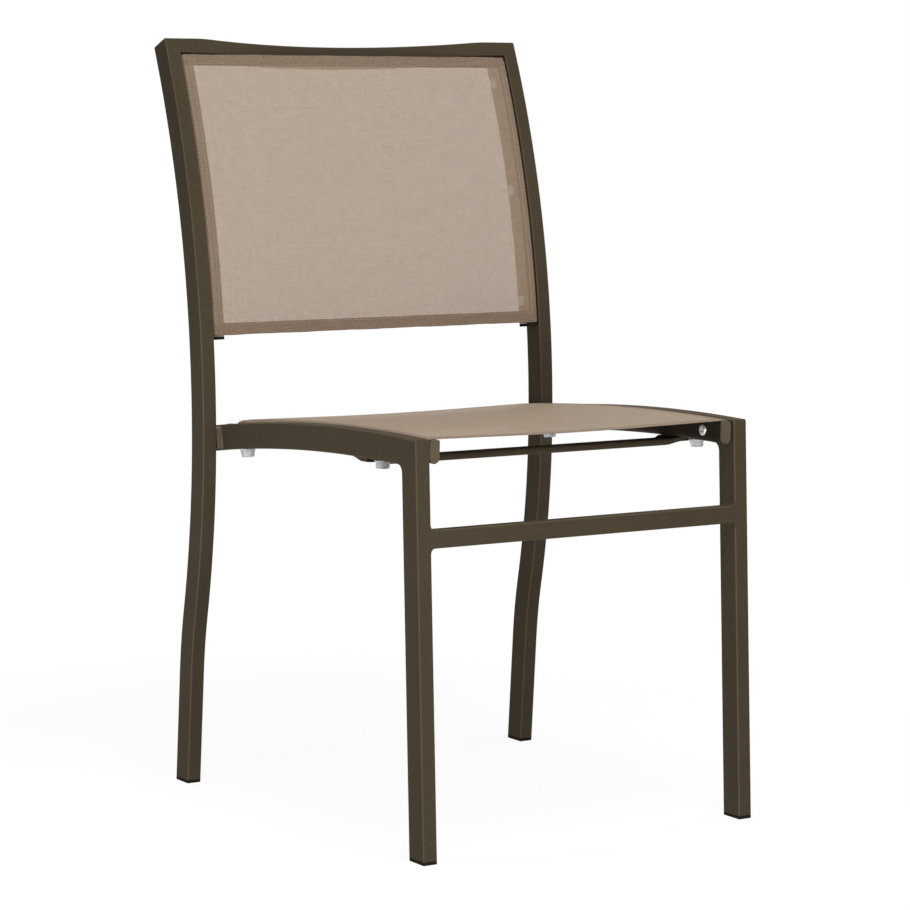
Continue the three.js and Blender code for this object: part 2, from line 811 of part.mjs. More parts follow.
// Sling section: flat between the rails, round each rail's outer edge and through its
// slot, with a sewn pocket for the spline rod. Its y is zero at the rails' middle.
function slingShape(railX) {
  const x = slingRailWidth / 2;
  const y = slingRailDepth / 2;
  const channelY = y - channelDepth;
  const innerRadius = slingRailRound + fabricClearance;
  const outerRadius = innerRadius + fabricThickness;
  const pocketOuter = pocketRadius + fabricThickness;
  const half = fabricThickness / 2;
  const mouthAngle = Math.asin(half / pocketOuter);
  const pocketEnd = mouthAngle - 2 * halfTurn;
  const roundX = x - slingRailRound;
  const roundY = y - slingRailRound;
  const side = [
    ...arcPoints(roundX, roundY, outerRadius, quarterTurn, 0, 2 * cornerSteps),
    ...arcPoints(x + fabricClearance, channelY + half, fabricThickness, 0, -quarterTurn, cornerSteps),
    ...arcPoints(-channelInset, channelY, pocketOuter, -mouthAngle, pocketEnd, channelSteps),
    new THREE.Vector2(x + fabricClearance, channelY + half),
    ...arcPoints(roundX, roundY, innerRadius, 0, quarterTurn, cornerSteps),
  ];
  const right = side.map((point) => new THREE.Vector2(railX + point.x, point.y));
  const left = right.map((point) => new THREE.Vector2(-point.x, point.y)).reverse();
  const pockets = [1, -1].map((sign) => {
    const centreX = sign * (railX - channelInset);
    return arcPoints(centreX, channelY, pocketRadius, 0, 2 * halfTurn, channelSteps).slice(1);
  });
  return shapeOf([...right, ...left], ...pockets);
}

const backFabricBottomLean = backBottomLean + backFabricBottomInset / backRadius;
const backFabricTopLean = backTopLean - backFabricTopInset / backRadius;
const seatFabricFrontY = seatSlingFrontY + seatFabricFrontInset;
const seatFabricRearY = seatSlingRearY - seatFabricRearInset;

function backSling() {
  const route = backRoute(0, backFabricBottomLean, backFabricTopLean, backRailForward);
  return lay(slingShape(backSlingRailX), route);
}

function seatSling() {
  const route = seatRoute(0, seatFabricFrontY, seatFabricRearY, 0);
  return lay(slingShape(seatSlingRailX), route);
}

const rodShape = new THREE.Shape(arcPoints(0, 0, rodRadius, 0, 2 * halfTurn, channelSteps).slice(1));
const rodRise = slingRailDepth / 2 - channelDepth;

function backRod() {
  const bottom = backBottomLean + rodInset / backRadius;
  const top = backTopLean - rodInset / backRadius;
  return lay(rodShape, backRoute(backSlingRailX - channelInset, bottom, top, backRailForward + rodRise));
}

function seatRod() {
  const front = seatSlingFrontY + rodInset;
  const rear = seatSlingRearY - rodInset;
  return lay(rodShape, seatRoute(seatSlingRailX - channelInset, front, rear, rodRise));
}

// End cap: a plate over the rail's end with a tongue in its chamber
function endCap(station, outward, thickness) {
  const x = slingRailWidth / 2 + capOverhang;
  const y = slingRailDepth / 2;
  const plate = [
    ...arcPoints(0, x - y, x, halfTurn, 2 * halfTurn, 2 * cornerSteps),
    ...railHead(x, y),
  ];
  const tongueX = slingRailWidth / 2 - slingRailWall - capClearance;
  const tongue = [
    ...arcPoints(0, x - capOverhang - y, tongueX, halfTurn, 2 * halfTurn, cornerSteps),
    new THREE.Vector2(tongueX, chamberTop - capClearance),
    new THREE.Vector2(-tongueX, chamberTop - capClearance),
  ];
  const heading = station.heading.clone().multiplyScalar(outward);
  const spread = (outline, from, length) => {
    const start = station.place.clone().addScaledVector(heading, from);
    const stations = [0, length].map((along) => ({
      place: start.clone().addScaledVector(station.heading, outward > 0 ? along : -(length - along)),
      wide: station.wide,
      deep: station.deep,
    }));
    return lay(new THREE.Shape(outline), { stations });
  };
  const flange = spread(plate, capClearance, thickness);
  const plug = spread(tongue, -capTongueLength, capTongueLength + capClearance + thickness / 2);
  return join(flange, plug);
}

function endStations(route) {
  return [route.stations[0], route.stations[route.stations.length - 1]];
}

// Pan head screw through a sling rail, its head towards the middle of the chair
function panScrew(point) {
  const face = slingRailWidth / 2 + capClearance;
  const length = slingRailWidth + capClearance + slingRailGap + tubeWall + screwReach;
  const start = point.clone().setX(point.x - face - screwHeadHeight);
  const profile = [
    [0, 0],
    [screwHeadRadius - 2 * screwHeadEdge, 0],
    [screwHeadRadius, 2 * screwHeadEdge],
    [screwHeadRadius, screwHeadHeight],
    [screwRadius, screwHeadHeight],
    [screwRadius, screwHeadHeight + length],
    [0, screwHeadHeight + length],
  ];
  const socketStart = start.clone().setX(start.x - cutOverrun);
  const socket = bar(socketStart, acrossAxis, socketRadius, cutOverrun + socketDepth, socketSides);
  return cut(turned(profile, start, acrossAxis), socket);
}

function stackBumper(y) {
  const { point, down } = railUnderside(legX, y);
  const start = point.clone().addScaledVector(down, undersideGap);
  const profile = [
    [0, -bumperHeight],
    [bumperFootRadius - bumperEdge, -bumperHeight],
    [bumperFootRadius, bumperEdge - bumperHeight],
    [bumperTopRadius, 0],
    [bumperStemRadius, 0],
    [bumperStemRadius, undersideGap + tubeWall + bumperStemLength],
    [0, undersideGap + tubeWall + bumperStemLength],
  ];
  return turned(profile, start, down.clone().negate());
}

// Floor glide: a foot under the tube's end and a plug inside it, both cut level
function footGlide(start, along) {
  const route = () => new Route(start.clone().addScaledVector(along, -tubeDepth), along, acrossAxis);
  const footShape = new THREE.Shape(roundedRectangle(tubeWidth, tubeDepth, tubeCorner));
  const foot = lay(footShape, route().go(2 * tubeDepth));
  const plugWidth = tubeWidth - 2 * (tubeWall + glideClearance);
  const plugDepth = tubeDepth - 2 * (tubeWall + glideClearance);
  const plugLength = tubeDepth + glideHeight + glidePlugLength;
  const plug = lay(new THREE.Shape(rectangle(plugWidth, plugDepth)), route().go(plugLength));
  const footTop = cut(foot, halfSpace(sidePoint(start.x, start.y, glideHeight), upAxis, cutReach));
  return cut(join(footTop, plug), halfSpace(sidePoint(start.x, start.y, 0), downAxis, cutReach));
}

// Frame
addPair('upright', upright(), bronzePaint);
addPiece('top_rail', topRail(), bronzePaint);
addPair('front_leg', frontLeg(), bronzePaint);
addPair('seat_rail', seatRail(), bronzePaint);
addPair('rail_spacer', railSpacer(), bronzePaint);
addPair('seat_rail_end_plug', railEndPlug(), blackPlastic);
addPiece('front_stretcher', frontStretcher(), bronzePaint);
addPiece('rear_cross_rail', rearCrossRail(), bronzePaint);
addPiece('front_spreader', frontSpreader(), bronzePaint);

// Sling rails, rods and slings
addPair('back_sling_rail', backSlingRail(), slingRailPaint);
addPair('seat_sling_rail', seatSlingRail(), slingRailPaint);
addPiece('back_sling', backSling(), slingFabric);
addPiece('seat_sling', seatSling(), slingFabric);
addPair('back_spline_rod', backRod(), rodVinyl);
addPair('seat_spline_rod', seatRod(), rodVinyl);

// Caps of the sling rails
const seatRailEnds = endStations(seatRoute(seatSlingRailX, seatSlingFrontY, seatSlingRearY, 0));
const backRailEnds = endStations(backRoute(backSlingRailX, backBottomLean, backTopLean, backRailForward));
addPair('seat_rail_cap_front', endCap(seatRailEnds[0], -1, frontCapThickness), capPlastic);
addPair('seat_rail_cap_rear', endCap(seatRailEnds[1], 1, rearCapThickness), capPlastic);
addPair('back_rail_plug_bottom', endCap(backRailEnds[0], -1, bottomPlugThickness), blackPlastic);
addPair('back_rail_plug_top', endCap(backRailEnds[1], 1, topPlugThickness), blackPlastic);

// Screws
seatScrewYs.forEach((y, i) => {
  addPair(`seat_rail_screw_${i + 1}`, panScrew(seatScrewPoint(y)), zincSteel);
});
backScrewLeans.forEach((lean, i) => {
  addPair(`back_rail_screw_${i + 1}`, panScrew(backScrewPoint(lean)), zincSteel);
});
addPiece('spreader_screw_right', flatScrew(1), zincSteel);
addPiece('spreader_screw_left', flatScrew(-1), zincSteel);

// Bumpers and glides
addPair('stack_bumper_front', stackBumper(bumperYs[0]), bumperPlastic);
addPair('stack_bumper_rear', stackBumper(bumperYs[1]), bumperPlastic);
const rearAlong = leaning(-rearFootLean);
addPair('foot_glide_front', footGlide(sidePoint(legX, 0, 0), legAlong), blackPlastic);
addPair('foot_glide_rear', footGlide(sidePoint(uprightX, footSpacing, 0), rearAlong), blackPlastic);

// The middle of the chair's box goes over the origin.
const chairBox = new THREE.Box3().setFromObject(chair);
chair.position.y = -(chairBox.min.y + chairBox.max.y) / 2;
chair.updateMatrixWorld(true);

export default chair;
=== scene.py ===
"""The looks of the sling patio chair: fine painted tubes with their welds, woven slings with
hems and stitches, caps, screws, bumpers and glides, materials, light, floor and camera.
Lengths are in metres and angles in radians. The sitter faces -Y."""
import math

import bpy
import numpy as np
from mathutils import Matrix


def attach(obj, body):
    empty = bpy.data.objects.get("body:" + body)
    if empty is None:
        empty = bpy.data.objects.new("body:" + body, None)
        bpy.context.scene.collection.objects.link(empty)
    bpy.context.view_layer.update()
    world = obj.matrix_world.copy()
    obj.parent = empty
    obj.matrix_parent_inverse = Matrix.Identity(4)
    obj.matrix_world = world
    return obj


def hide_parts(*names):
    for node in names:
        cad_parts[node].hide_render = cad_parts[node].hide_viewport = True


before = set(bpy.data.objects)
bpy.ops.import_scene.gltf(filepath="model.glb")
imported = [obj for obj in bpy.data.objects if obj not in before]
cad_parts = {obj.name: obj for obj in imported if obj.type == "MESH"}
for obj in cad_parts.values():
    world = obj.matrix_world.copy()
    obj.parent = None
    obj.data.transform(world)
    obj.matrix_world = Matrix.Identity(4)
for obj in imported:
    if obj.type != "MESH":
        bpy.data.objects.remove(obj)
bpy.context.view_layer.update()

MM = 0.001
QUARTER = math.pi / 2

X_AXIS = np.array([1.0, 0.0, 0.0])
Y_AXIS = np.array([0.0, 1.0, 0.0])
Z_AXIS = np.array([0.0, 0.0, 1.0])

# Sizes of the frame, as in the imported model
LEG_SPAN = 441 * MM
FOOT_SPACING = 486 * MM
FRONT_FOOT_Y = -279.4532 * MM
TUBE_WIDTH = 18 * MM
TUBE_DEPTH = 30 * MM
TUBE_CORNER = 2.2 * MM
TIGHT_RADIUS = 6 * MM
MITRE_INNER = 1.2 * MM
MITRE_OUTER = 1.8 * MM
REAR_FOOT_LEAN = math.radians(4)
REAR_FOOT_LENGTH = 136 * MM
KNEE_RADIUS = 535 * MM
KNEE_LEAN = math.radians(11.6)
REAR_LEG_RADIUS = 1026 * MM
BACK_RADIUS = 1178 * MM
BACK_HEIGHT = 439.5 * MM
TOP_RAIL_END = 32 * MM
TOP_RAIL_EASE = 80 * MM
TOP_RAIL_RADIUS = 880 * MM
FRONT_LEG_LEAN = math.radians(2.7)
SEAT_CROWN_Y = 70.4 * MM
SEAT_RAIL_HEIGHT = 440.5 * MM
SEAT_RAIL_RADIUS = 2700 * MM
SEAT_RAIL_REAR_INSET = 1.5 * MM
CORNER_FILLET = 9 * MM
SPACER_WIDTH = 8 * MM
SPACER_FRONT_INSET = 1.5 * MM
SPACER_HEIGHT = 28 * MM
SPACER_CORNER = 2.5 * MM
SPACER_FILLET = 2.2 * MM
END_PLUG_START = 0.05 * MM
END_PLUG_FLANGE = 2 * MM
END_PLUG_EDGE = 0.8 * MM
CROSS_HEIGHT = 20 * MM
CROSS_DEPTH = 18 * MM
CROSS_CORNER = 2 * MM
STRETCHER_DROP = 93.1 * MM
CROSS_FILLET = 5.5 * MM
REAR_CROSS_RISE = 1.7 * MM
REAR_CROSS_FILLET = 4 * MM
SPREADER_REACH = 105.6 * MM
SPREADER_WIDTH = 30 * MM
SPREADER_THICKNESS = 7 * MM
SPREADER_DROP = 1.5 * MM
SPREADER_END_WIDTH = 42 * MM
SPREADER_END_THICKNESS = 4.5 * MM
SPREADER_END_LENGTH = 14 * MM
SPREADER_TIP_WIDTH = 30 * MM
SPREADER_TIP_LENGTH = 7 * MM
SPREADER_FLARE = 16 * MM
SPREADER_END_INSET = 3.5 * MM
SPREADER_TAPER = 21 * MM
WELD_GAP = 0.3 * MM
UNDERSIDE_GAP = 0.5 * MM

# Sling rails, slings and their fixings
RAIL_WIDTH = 12.7 * MM
RAIL_DEPTH = 25.4 * MM
RAIL_EDGE = 1.5 * MM
RAIL_ROUND = 4 * MM
RAIL_GAP = 1.8 * MM
CHANNEL_RADIUS = 3.4 * MM
CHANNEL_DEPTH = 5.2 * MM
CHANNEL_INSET = 0.4 * MM
SLOT_HEIGHT = 2.2 * MM
SLOT_EDGE = 0.35 * MM
FABRIC_STACK = 1.3 * MM
ROD_RADIUS = 1.6 * MM
ROD_INSET = 0.6 * MM
SEAT_SLING_RADIUS = 3300 * MM
SEAT_SLING_RISE = 0.5 * MM
SEAT_RAIL_SETBACK = 6.7 * MM
SEAT_SLING_REAR_GAP = 9.1 * MM
SEAT_FABRIC_FRONT = 1 * MM
SEAT_FABRIC_REAR = 2.6 * MM
BACK_SLING_INSET = 0.3 * MM
BACK_RAIL_LENGTH = 333.2 * MM
BACK_RAIL_TOP_GAP = 3.3 * MM
BACK_FABRIC_BOTTOM = 0.7 * MM
BACK_FABRIC_TOP = -0.8 * MM
FRONT_CAP = 3 * MM
REAR_CAP = 2.4 * MM
BOTTOM_PLUG = 3.8 * MM
TOP_PLUG = 2.4 * MM
CAP_GAP = 0.3 * MM
CAP_OVERHANG = 0.15 * MM
CAP_INNER_EDGE = 0.1 * MM
CAP_OUTER_EDGE = 0.7 * MM
SCREW_HEAD = 6.5 * MM
SCREW_HEAD_HEIGHT = 2.6 * MM
SCREW_RADIUS = 2.5 * MM
SCREW_LENGTH = 20.4 * MM
SOCKET_RIM = 3.1 * MM
SOCKET_RADIUS = 2.3 * MM
SOCKET_DEPTH = 1.5 * MM
SEAT_SCREW_INSET = 31 * MM
BACK_SCREW_INSET = 28 * MM
FLAT_HEAD = 4.4 * MM
FLAT_HEAD_RIM = 0.4 * MM
FLAT_HEAD_HEIGHT = 2.2 * MM
FLAT_SCREW_RADIUS = 2 * MM
FLAT_SCREW_LENGTH = 11.6 * MM
FLAT_SCREW_RISE = 0.1 * MM
FLAT_SOCKET_RIM = 1.9 * MM
FLAT_SOCKET_RADIUS = 1.5 * MM
FLAT_SOCKET_DEPTH = 1.2 * MM
BUMPER_TOP = 8.75 * MM
BUMPER_FOOT = 7.3 * MM
BUMPER_HEIGHT = 9 * MM
BUMPER_FLANGE = 2.4 * MM
BUMPER_DIMPLE = 1.2 * MM
BUMPER_STEM = 2.6 * MM
BUMPER_STEM_LENGTH = 10 * MM
BUMPER_FRONT_REACH = 66.6 * MM
BUMPER_REAR_REACH = 56.6 * MM
GLIDE_HEIGHT = 4 * MM
GLIDE_LOW_EDGE = 1 * MM
GLIDE_TOP_EDGE = 0.35 * MM

LEG_X = LEG_SPAN / 2 - TUBE_WIDTH / 2
UPRIGHT_X = LEG_X + TUBE_WIDTH + SPACER_WIDTH
SEAT_RAIL_INNER_X = LEG_SPAN / 2 - TUBE_WIDTH
UPRIGHT_INNER_X = LEG_SPAN / 2 + SPACER_WIDTH
SEAT_SLING_RAIL_X = SEAT_RAIL_INNER_X - RAIL_GAP - RAIL_WIDTH / 2
BACK_SLING_RAIL_X = UPRIGHT_INNER_X - RAIL_GAP - RAIL_WIDTH / 2
BACK_FORWARD = TUBE_DEPTH / 2 - BACK_SLING_INSET - FABRIC_STACK - RAIL_DEPTH / 2
CHANNEL_RISE = RAIL_DEPTH / 2 - CHANNEL_DEPTH


def unit(vector):
    return vector / np.linalg.norm(vector)


def rotated(vector, axis, angle):
    """The vector turned about a unit axis."""
    along = axis * (vector @ axis)
    return along + (vector - along) * math.cos(angle) + np.cross(axis, vector) * math.sin(angle)


def point(x, y, z):
    """A point from its distance behind the front feet."""
    return np.array([x, y + FRONT_FOOT_Y, z])


def leaning(lean):
    return np.array([0.0, math.sin(lean), math.cos(lean)])


def linked(name, data):
    """A new object in the scene."""
    made = bpy.data.objects.new(name, data)
    bpy.context.scene.collection.objects.link(made)
    return made


class Station:
    """A place on a path, its heading, and the section's wide and deep axes there."""

    def __init__(self, place, heading, wide):
        self.place = np.array(place, float)
        self.heading = unit(np.array(heading, float))
        self.wide = unit(np.array(wide, float))
        self.deep = np.cross(self.heading, self.wide)

    def moved(self, along):
        return Station(self.place + self.heading * along, self.heading, self.wide)


class Route:
    """A path of stations made of straight runs and round bends."""

    def __init__(self, place, heading, wide):
        self.stations = [Station(place, heading, wide)]

    def go(self, length):
        self.stations.append(self.stations[-1].moved(length))

    def turn(self, axis, radius, angle, tolerance=0.02 * MM):
        steps = max(2, math.ceil(abs(angle) / (2 * math.acos(1 - tolerance / radius))))
        first = self.stations[-1]
        centre = first.place + np.cross(axis, first.heading) * math.copysign(radius, angle)
        for i in range(1, steps + 1):
            part = angle * i / steps
            self.stations.append(Station(
                centre + rotated(first.place - centre, axis, part),
                rotated(first.heading, axis, part),
                rotated(first.wide, axis, part),
            ))


# Outlines are rows of x, y and the outward normal.
def arc(x, y, radius, start, end, steps, side=1):
    turn = np.linspace(start, end, steps + 1)
    c, s = np.cos(turn), np.sin(turn)
    return np.column_stack([x + radius * c, y + radius * s, side * c, side * s])


def quarter(k, x, y, radius, steps):
    """One of the four quarters of a round, counted from 0."""
    return arc(x, y, radius, k * QUARTER, (k + 1) * QUARTER, steps)


def rounded_rectangle(width, depth, radius, steps=6):
    x, y = width / 2 - radius, depth / 2 - radius
    corners = [(x, y), (-x, y), (-x, -y), (x, -y)]
    return np.vstack([quarter(k, *corner, radius, steps) for k, corner in enumerate(corners)])


def rounded_line(corners, radii, steps=5):
    """An open line with its inner corners rounded; the material lies on its left."""
    corners = [np.array(c, float) for c in corners]
    headings = [unit(b - a) for a, b in zip(corners, corners[1:])]
    outward = [np.array([h[1], -h[0]]) for h in headings]
    rows = [[*corners[0], *outward[0]]]
    for i in range(1, len(corners) - 1):
        before, after, radius = headings[i - 1], headings[i], radii[i - 1]
        bend = math.atan2(before[0] * after[1] - before[1] * after[0], before @ after)
        if radius == 0 or abs(bend) < 1e-6:
            rows += [[*corners[i], *outward[i - 1]], [*corners[i], *outward[i]]]
            continue
        start = corners[i] - before * radius * math.tan(abs(bend) / 2)
        side = math.copysign(1, bend)
        n = outward[i - 1]
        centre = start - n * radius * side
        for k in range(steps + 1):
            c, s = math.cos(bend * k / steps), math.sin(bend * k / steps)
            normal = np.array([n[0] * c - n[1] * s, n[0] * s + n[1] * c])
            rows.append([*(centre + normal * radius * side), *normal])
    rows.append([*corners[-1], *outward[-1]])
    return np.array(rows)


def grown(outline, size):
    """An outline moved outwards, or inwards where the size is below zero."""
    moved = outline.copy()
    moved[:, :2] += outline[:, 2:] * size
    return moved


def quarter_turn(steps):
    """The cosines and sines of a quarter turn."""
    angles = [QUARTER * k / steps for k in range(steps + 1)]
    return [(math.cos(a), math.sin(a)) for a in angles]


def rims(start, end, start_edge, end_edge):
    """The two rounded rims of a plate, as edges."""
    turns = quarter_turn(5)
    first = [(start + start_edge * (1 - c), start_edge * (1 - s), -c, s) for c, s in turns]
    last = [(end - end_edge * (1 - s), end_edge * (1 - c), s, c) for c, s in turns]
    return first + last


class Skin:
    """Gathers faces with a normal and a texture place at each of their corners."""

    def __init__(self):
        self.points, self.normals, self.uvs, self.faces = [], [], [], []
        self.count = 0

    def add(self, points, normals, uvs, faces):
        points = np.asarray(points, float).reshape(-1, 3)
        normals = np.asarray(normals, float).reshape(-1, 3)
        if uvs is None:
            uvs = np.zeros((len(points), 2))
        self.points.append(points)
        self.normals.append(normals)
        self.uvs.append(np.asarray(uvs, float).reshape(-1, 2))
        self.faces += [[i + self.count for i in face] for face in faces]
        self.count += len(points)

    def grid(self, points, normals, uvs=None, closed=False):
        points, normals = np.asarray(points, float), np.asarray(normals, float)
        if closed:
            points = np.concatenate([points, points[:, :1]], axis=1)
            normals = np.concatenate([normals, normals[:, :1]], axis=1)
        rows, columns = points.shape[:2]
        across = points[:-1, 1:] - points[:-1, :-1]
        along = points[1:, :-1] - points[:-1, :-1]
        facing = (np.cross(across, along) * normals[:-1, :-1]).sum()
        first = np.add.outer(np.arange(rows - 1) * columns, np.arange(columns - 1)).reshape(-1, 1)
        faces = first + [0, 1, 1 + columns, columns]
        self.add(points, normals, uvs, (faces if facing > 0 else faces[:, ::-1]).tolist())

    def face(self, points, normal):
        points = np.asarray(points, float)
        area = np.cross(points, np.roll(points, -1, axis=0)).sum(axis=0)
        order = list(range(len(points)))
        if area @ normal < 0:
            order.reverse()
        self.add(points, np.tile(normal, (len(points), 1)), None, [order])

    def mirrored(self):
        copy = Skin()
        flip = np.array([-1.0, 1.0, 1.0])
        copy.points = [p * flip for p in self.points]
        copy.normals = [n * flip for n in self.normals]
        copy.uvs = list(self.uvs)
        copy.faces = [face[::-1] for face in self.faces]
        copy.count = self.count
        return copy

    def joined(self, other):
        self.add(np.vstack(other.points), np.vstack(other.normals), np.vstack(other.uvs), other.faces)

    def piece(self, name, nodes, finish):
        """Makes the object, which stands for the nodes, rides on the chair and takes the finish's
        material.
        """
        material, slot = finish
        points = np.vstack(self.points)
        keys = np.round(points / 1e-7).astype(np.int64)
        _, first, index = np.unique(keys, axis=0, return_index=True, return_inverse=True)
        index = index.reshape(-1)
        faces, loops = [], []
        for face in self.faces:
            kept = [i for k, i in enumerate(face) if index[i] != index[face[k - 1]]]
            if len({index[i] for i in kept}) > 2:
                faces.append([int(index[i]) for i in kept])
                loops += kept
        mesh = bpy.data.meshes.new(name)
        mesh.from_pydata(points[first].tolist(), [], faces)
        mesh.polygons.foreach_set("use_smooth", np.ones(len(faces), bool))
        layer = mesh.uv_layers.new(name="UVMap")
        layer.uv.foreach_set("vector", np.vstack(self.uvs)[loops].astype(np.float32).ravel())
        mesh.normals_split_custom_set(np.vstack(self.normals)[loops].tolist())
        mesh.materials.append(material)
        made = linked(name, mesh)
        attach(made, "root")
        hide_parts(*nodes)
        return made


def laid(station, outline):
    """An outline and its normals at a station."""
    points = station.place + outline[:, :1] * station.wide + outline[:, 1:2] * station.deep
    normals = outline[:, 2:3] * station.wide + outline[:, 3:4] * station.deep
    return points, normals


def cut_row(station, outline, place, normal):
    """An outline slid along its heading onto a plane."""
    points, normals = laid(station, outline)
    slide = ((place - points) @ normal) / (station.heading @ normal)
    return points + slide[:, None] * station.heading, normals


def mitre_rows(station, toward, onward, steps=6):
    """Rows that round the frame tube's mitred corner up to its plane. The tube runs through the
    station, which lies on the corner, in the direction toward, and goes on in the direction
    onward."""
    normal = unit(toward + onward)
    axis = unit(np.cross(toward, onward))
    inward = np.cross(axis, toward)
    bend = math.acos(np.clip(toward @ onward, -1, 1))
    points, normals = laid(station, frame_outline)
    reach = ((station.place - points) @ normal) / (toward @ normal)
    corner = points + reach[:, None] * toward
    outness = -((points - station.place) @ inward)
    share = (outness / np.abs(outness).max() + 1) / 2
    radius = (MITRE_INNER + (MITRE_OUTER - MITRE_INNER) * share)[:, None]
    rows = []
    for k in range(steps + 1):
        angle = bend / 2 * k / steps
        back = math.sin(angle) - math.tan(bend / 2)
        place = corner + radius * (back * toward + (1 - math.cos(angle)) * inward)
        rows.append((place, np.array([rotated(n, axis, angle) for n in normals])))
    return rows


def ridges(points, normals):
    """How near each point of a closed row lies to the middle of a tightly rounded edge."""
    turn = np.arccos(np.clip((normals * np.roll(normals, -1, axis=0)).sum(axis=1), -1, 1))
    tight = turn * TIGHT_RADIUS > np.linalg.norm(np.roll(points, -1, axis=0) - points, axis=1)
    count = len(turn)

    def reach(spots):
        total = 0.0
        for k in spots:
            if not tight[k % count]:
                break
            total += turn[k % count]
        return total

    near = [min(reach(range(i, i + 12)), reach(range(i - 1, i - 13, -1))) for i in range(count)]
    return np.minimum(np.array(near) / (QUARTER / 2), 1)


def sweep(skin, rows, caps=(None, None)):
    """A closed skin through rows of points and normals, with flat caps facing as given. Its
    texture place tells how near a rounded edge is, where the powder coat paints its highlight."""
    row = rows[len(rows) // 2]
    ridge = ridges(np.asarray(row[0]), np.asarray(row[1]))
    uv = np.column_stack([np.append(ridge, ridge[0]), np.zeros(len(ridge) + 1)])
    skin.grid([r[0] for r in rows], [r[1] for r in rows], np.tile(uv, (len(rows), 1)), closed=True)
    for row, cap in zip((rows[0], rows[-1]), caps):
        if cap is not None:
            skin.face(row[0], cap)
    return skin


def edge_rows(station, outline, edges):
    """Rows of a section; each edge is a place along, an inset, and the normal's parts along and
    outwards."""
    rows = []
    for along, inset, forward, outward in edges:
        points, normals = laid(station.moved(along), grown(outline, -inset))
        rows.append((points, normals * outward + station.heading * forward))
    return rows


def plate(station, outline, *places_and_edges):
    """A plate across a path, its two rims rounded."""
    rows = edge_rows(station, outline, rims(*places_and_edges))
    return sweep(Skin(), rows, (-station.heading, station.heading))


def spokes(axis, sides):
    """Angles all round an axis and the directions there."""
    side = unit(np.cross(axis, Y_AXIS if abs(axis[1]) < 0.9 else X_AXIS))
    other = np.cross(axis, side)
    turns = [2 * math.pi * k / sides for k in range(sides)]
    return turns, np.array([side * math.cos(a) + other * math.sin(a) for a in turns])


def lathe(profile, place, axis):
    """A turned skin; the profile's rows are height, radius and their normals."""
    _, away = spokes(axis, 40)
    points = [place + axis * height + away * radius for height, radius, _, _ in profile]
    normals = [axis * up + away * out for _, _, up, out in profile]
    skin = Skin()
    skin.grid(points, normals, closed=True)
    return skin


def screw(face, axis, corners, radii, radius, depth):
    """A turned screw whose profile begins at its socket's rim."""
    height, rim = corners[0]
    skin = lathe(rounded_line(corners, radii), face, axis)
    return socket(skin, face + axis * height, axis, rim, radius, depth)


def socket(skin, place, axis, rim, radius, depth):
    """A hexagon socket sunk into a face whose rim is a circle; axis points out of the face."""
    wall, sixth = 6, math.pi / 3
    sides = 6 * wall
    turns, away = spokes(axis, sides)
    flat = radius * math.cos(sixth / 2)
    hexagon = np.array([flat / math.cos(a % sixth - sixth / 2) for a in turns])[:, None]
    mouth = place + away * hexagon
    floor = mouth - axis * depth
    up = np.tile(axis, (sides, 1))
    skin.grid([place + away * rim, mouth], [up, up], closed=True)
    for first in range(0, sides, wall):
        picked = [(first + i) % sides for i in range(wall + 1)]
        normals = np.tile(-away[first + wall // 2], (wall + 1, 1))
        skin.grid([mouth[picked], floor[picked]], [normals, normals])
    skin.face(floor, axis)
    return skin


def inner_fillet(skin, corner, a, b, across, profile, radius, steps=8):
    """A weld's hollow round face in the corner of two faces that leave it along a and b. The
    profile's rows are the place across, the depth below the faces, and the normals of both."""
    bend = math.acos(np.clip(a @ b, -1, 1))
    foot = radius / math.tan(bend / 2)
    centre = corner + unit(a + b) * radius / math.sin(bend / 2)
    start = unit(corner + a * foot - centre)
    axis = unit(np.cross(start, corner + b * foot - centre))
    points, normals = [], []
    for k in range(steps + 1):
        outward = rotated(start, axis, (math.pi - bend) * k / steps)
        points.append([centre + outward * (radius + e) + across * s for s, e, _, _ in profile])
        normals.append([across * ns - outward * ne for _, _, ns, ne in profile])
    skin.grid(points, normals)
    for row in (0, -1):
        s, e = profile[row][:2]
        if abs(s) > 1e-9 and e > 0:
            inside = corner - (a + b) * e / math.sin(bend) + across * s
            skin.face([*[p[row] for p in points], inside], across * math.copysign(1, s))
    return skin


# Paths of the frame
upright_route = Route(point(UPRIGHT_X, FOOT_SPACING, 0), leaning(-REAR_FOOT_LEAN), X_AXIS)
upright_route.go(REAR_FOOT_LENGTH)
upright_route.turn(X_AXIS, KNEE_RADIUS, KNEE_LEAN - REAR_FOOT_LEAN)
upright_route.turn(X_AXIS, REAR_LEG_RADIUS, -KNEE_LEAN)
waist = upright_route.stations[-1].place.copy()
corner_reach = BACK_RADIUS + TUBE_DEPTH / 2 - TUBE_CORNER
corner_rise = TUBE_WIDTH / 2 - TUBE_CORNER
top_rise = SEAT_RAIL_HEIGHT + BACK_HEIGHT - TUBE_CORNER - waist[2]
top_lean = math.asin(top_rise / math.hypot(corner_reach, corner_rise))
top_lean -= math.atan2(corner_rise, corner_reach)
upright_route.turn(X_AXIS, BACK_RADIUS, -top_lean)
top_corner = upright_route.stations[-1].place.copy()
top_along = leaning(top_lean)
back_centre = waist + Y_AXIS * BACK_RADIUS
waist_y = waist[1] - FRONT_FOOT_Y

leg_along = leaning(FRONT_LEG_LEAN)
leg_rear = np.array([0.0, leg_along[2], -leg_along[1]])
front_foot = Station(point(LEG_X, 0, 0), leg_along, X_AXIS)
rear_foot = upright_route.stations[0]


def crown_slope(y, radius):
    return math.asin((SEAT_CROWN_Y - y) / radius)


def crown_heading(slope):
    return np.array([0.0, math.cos(slope), math.sin(slope)])


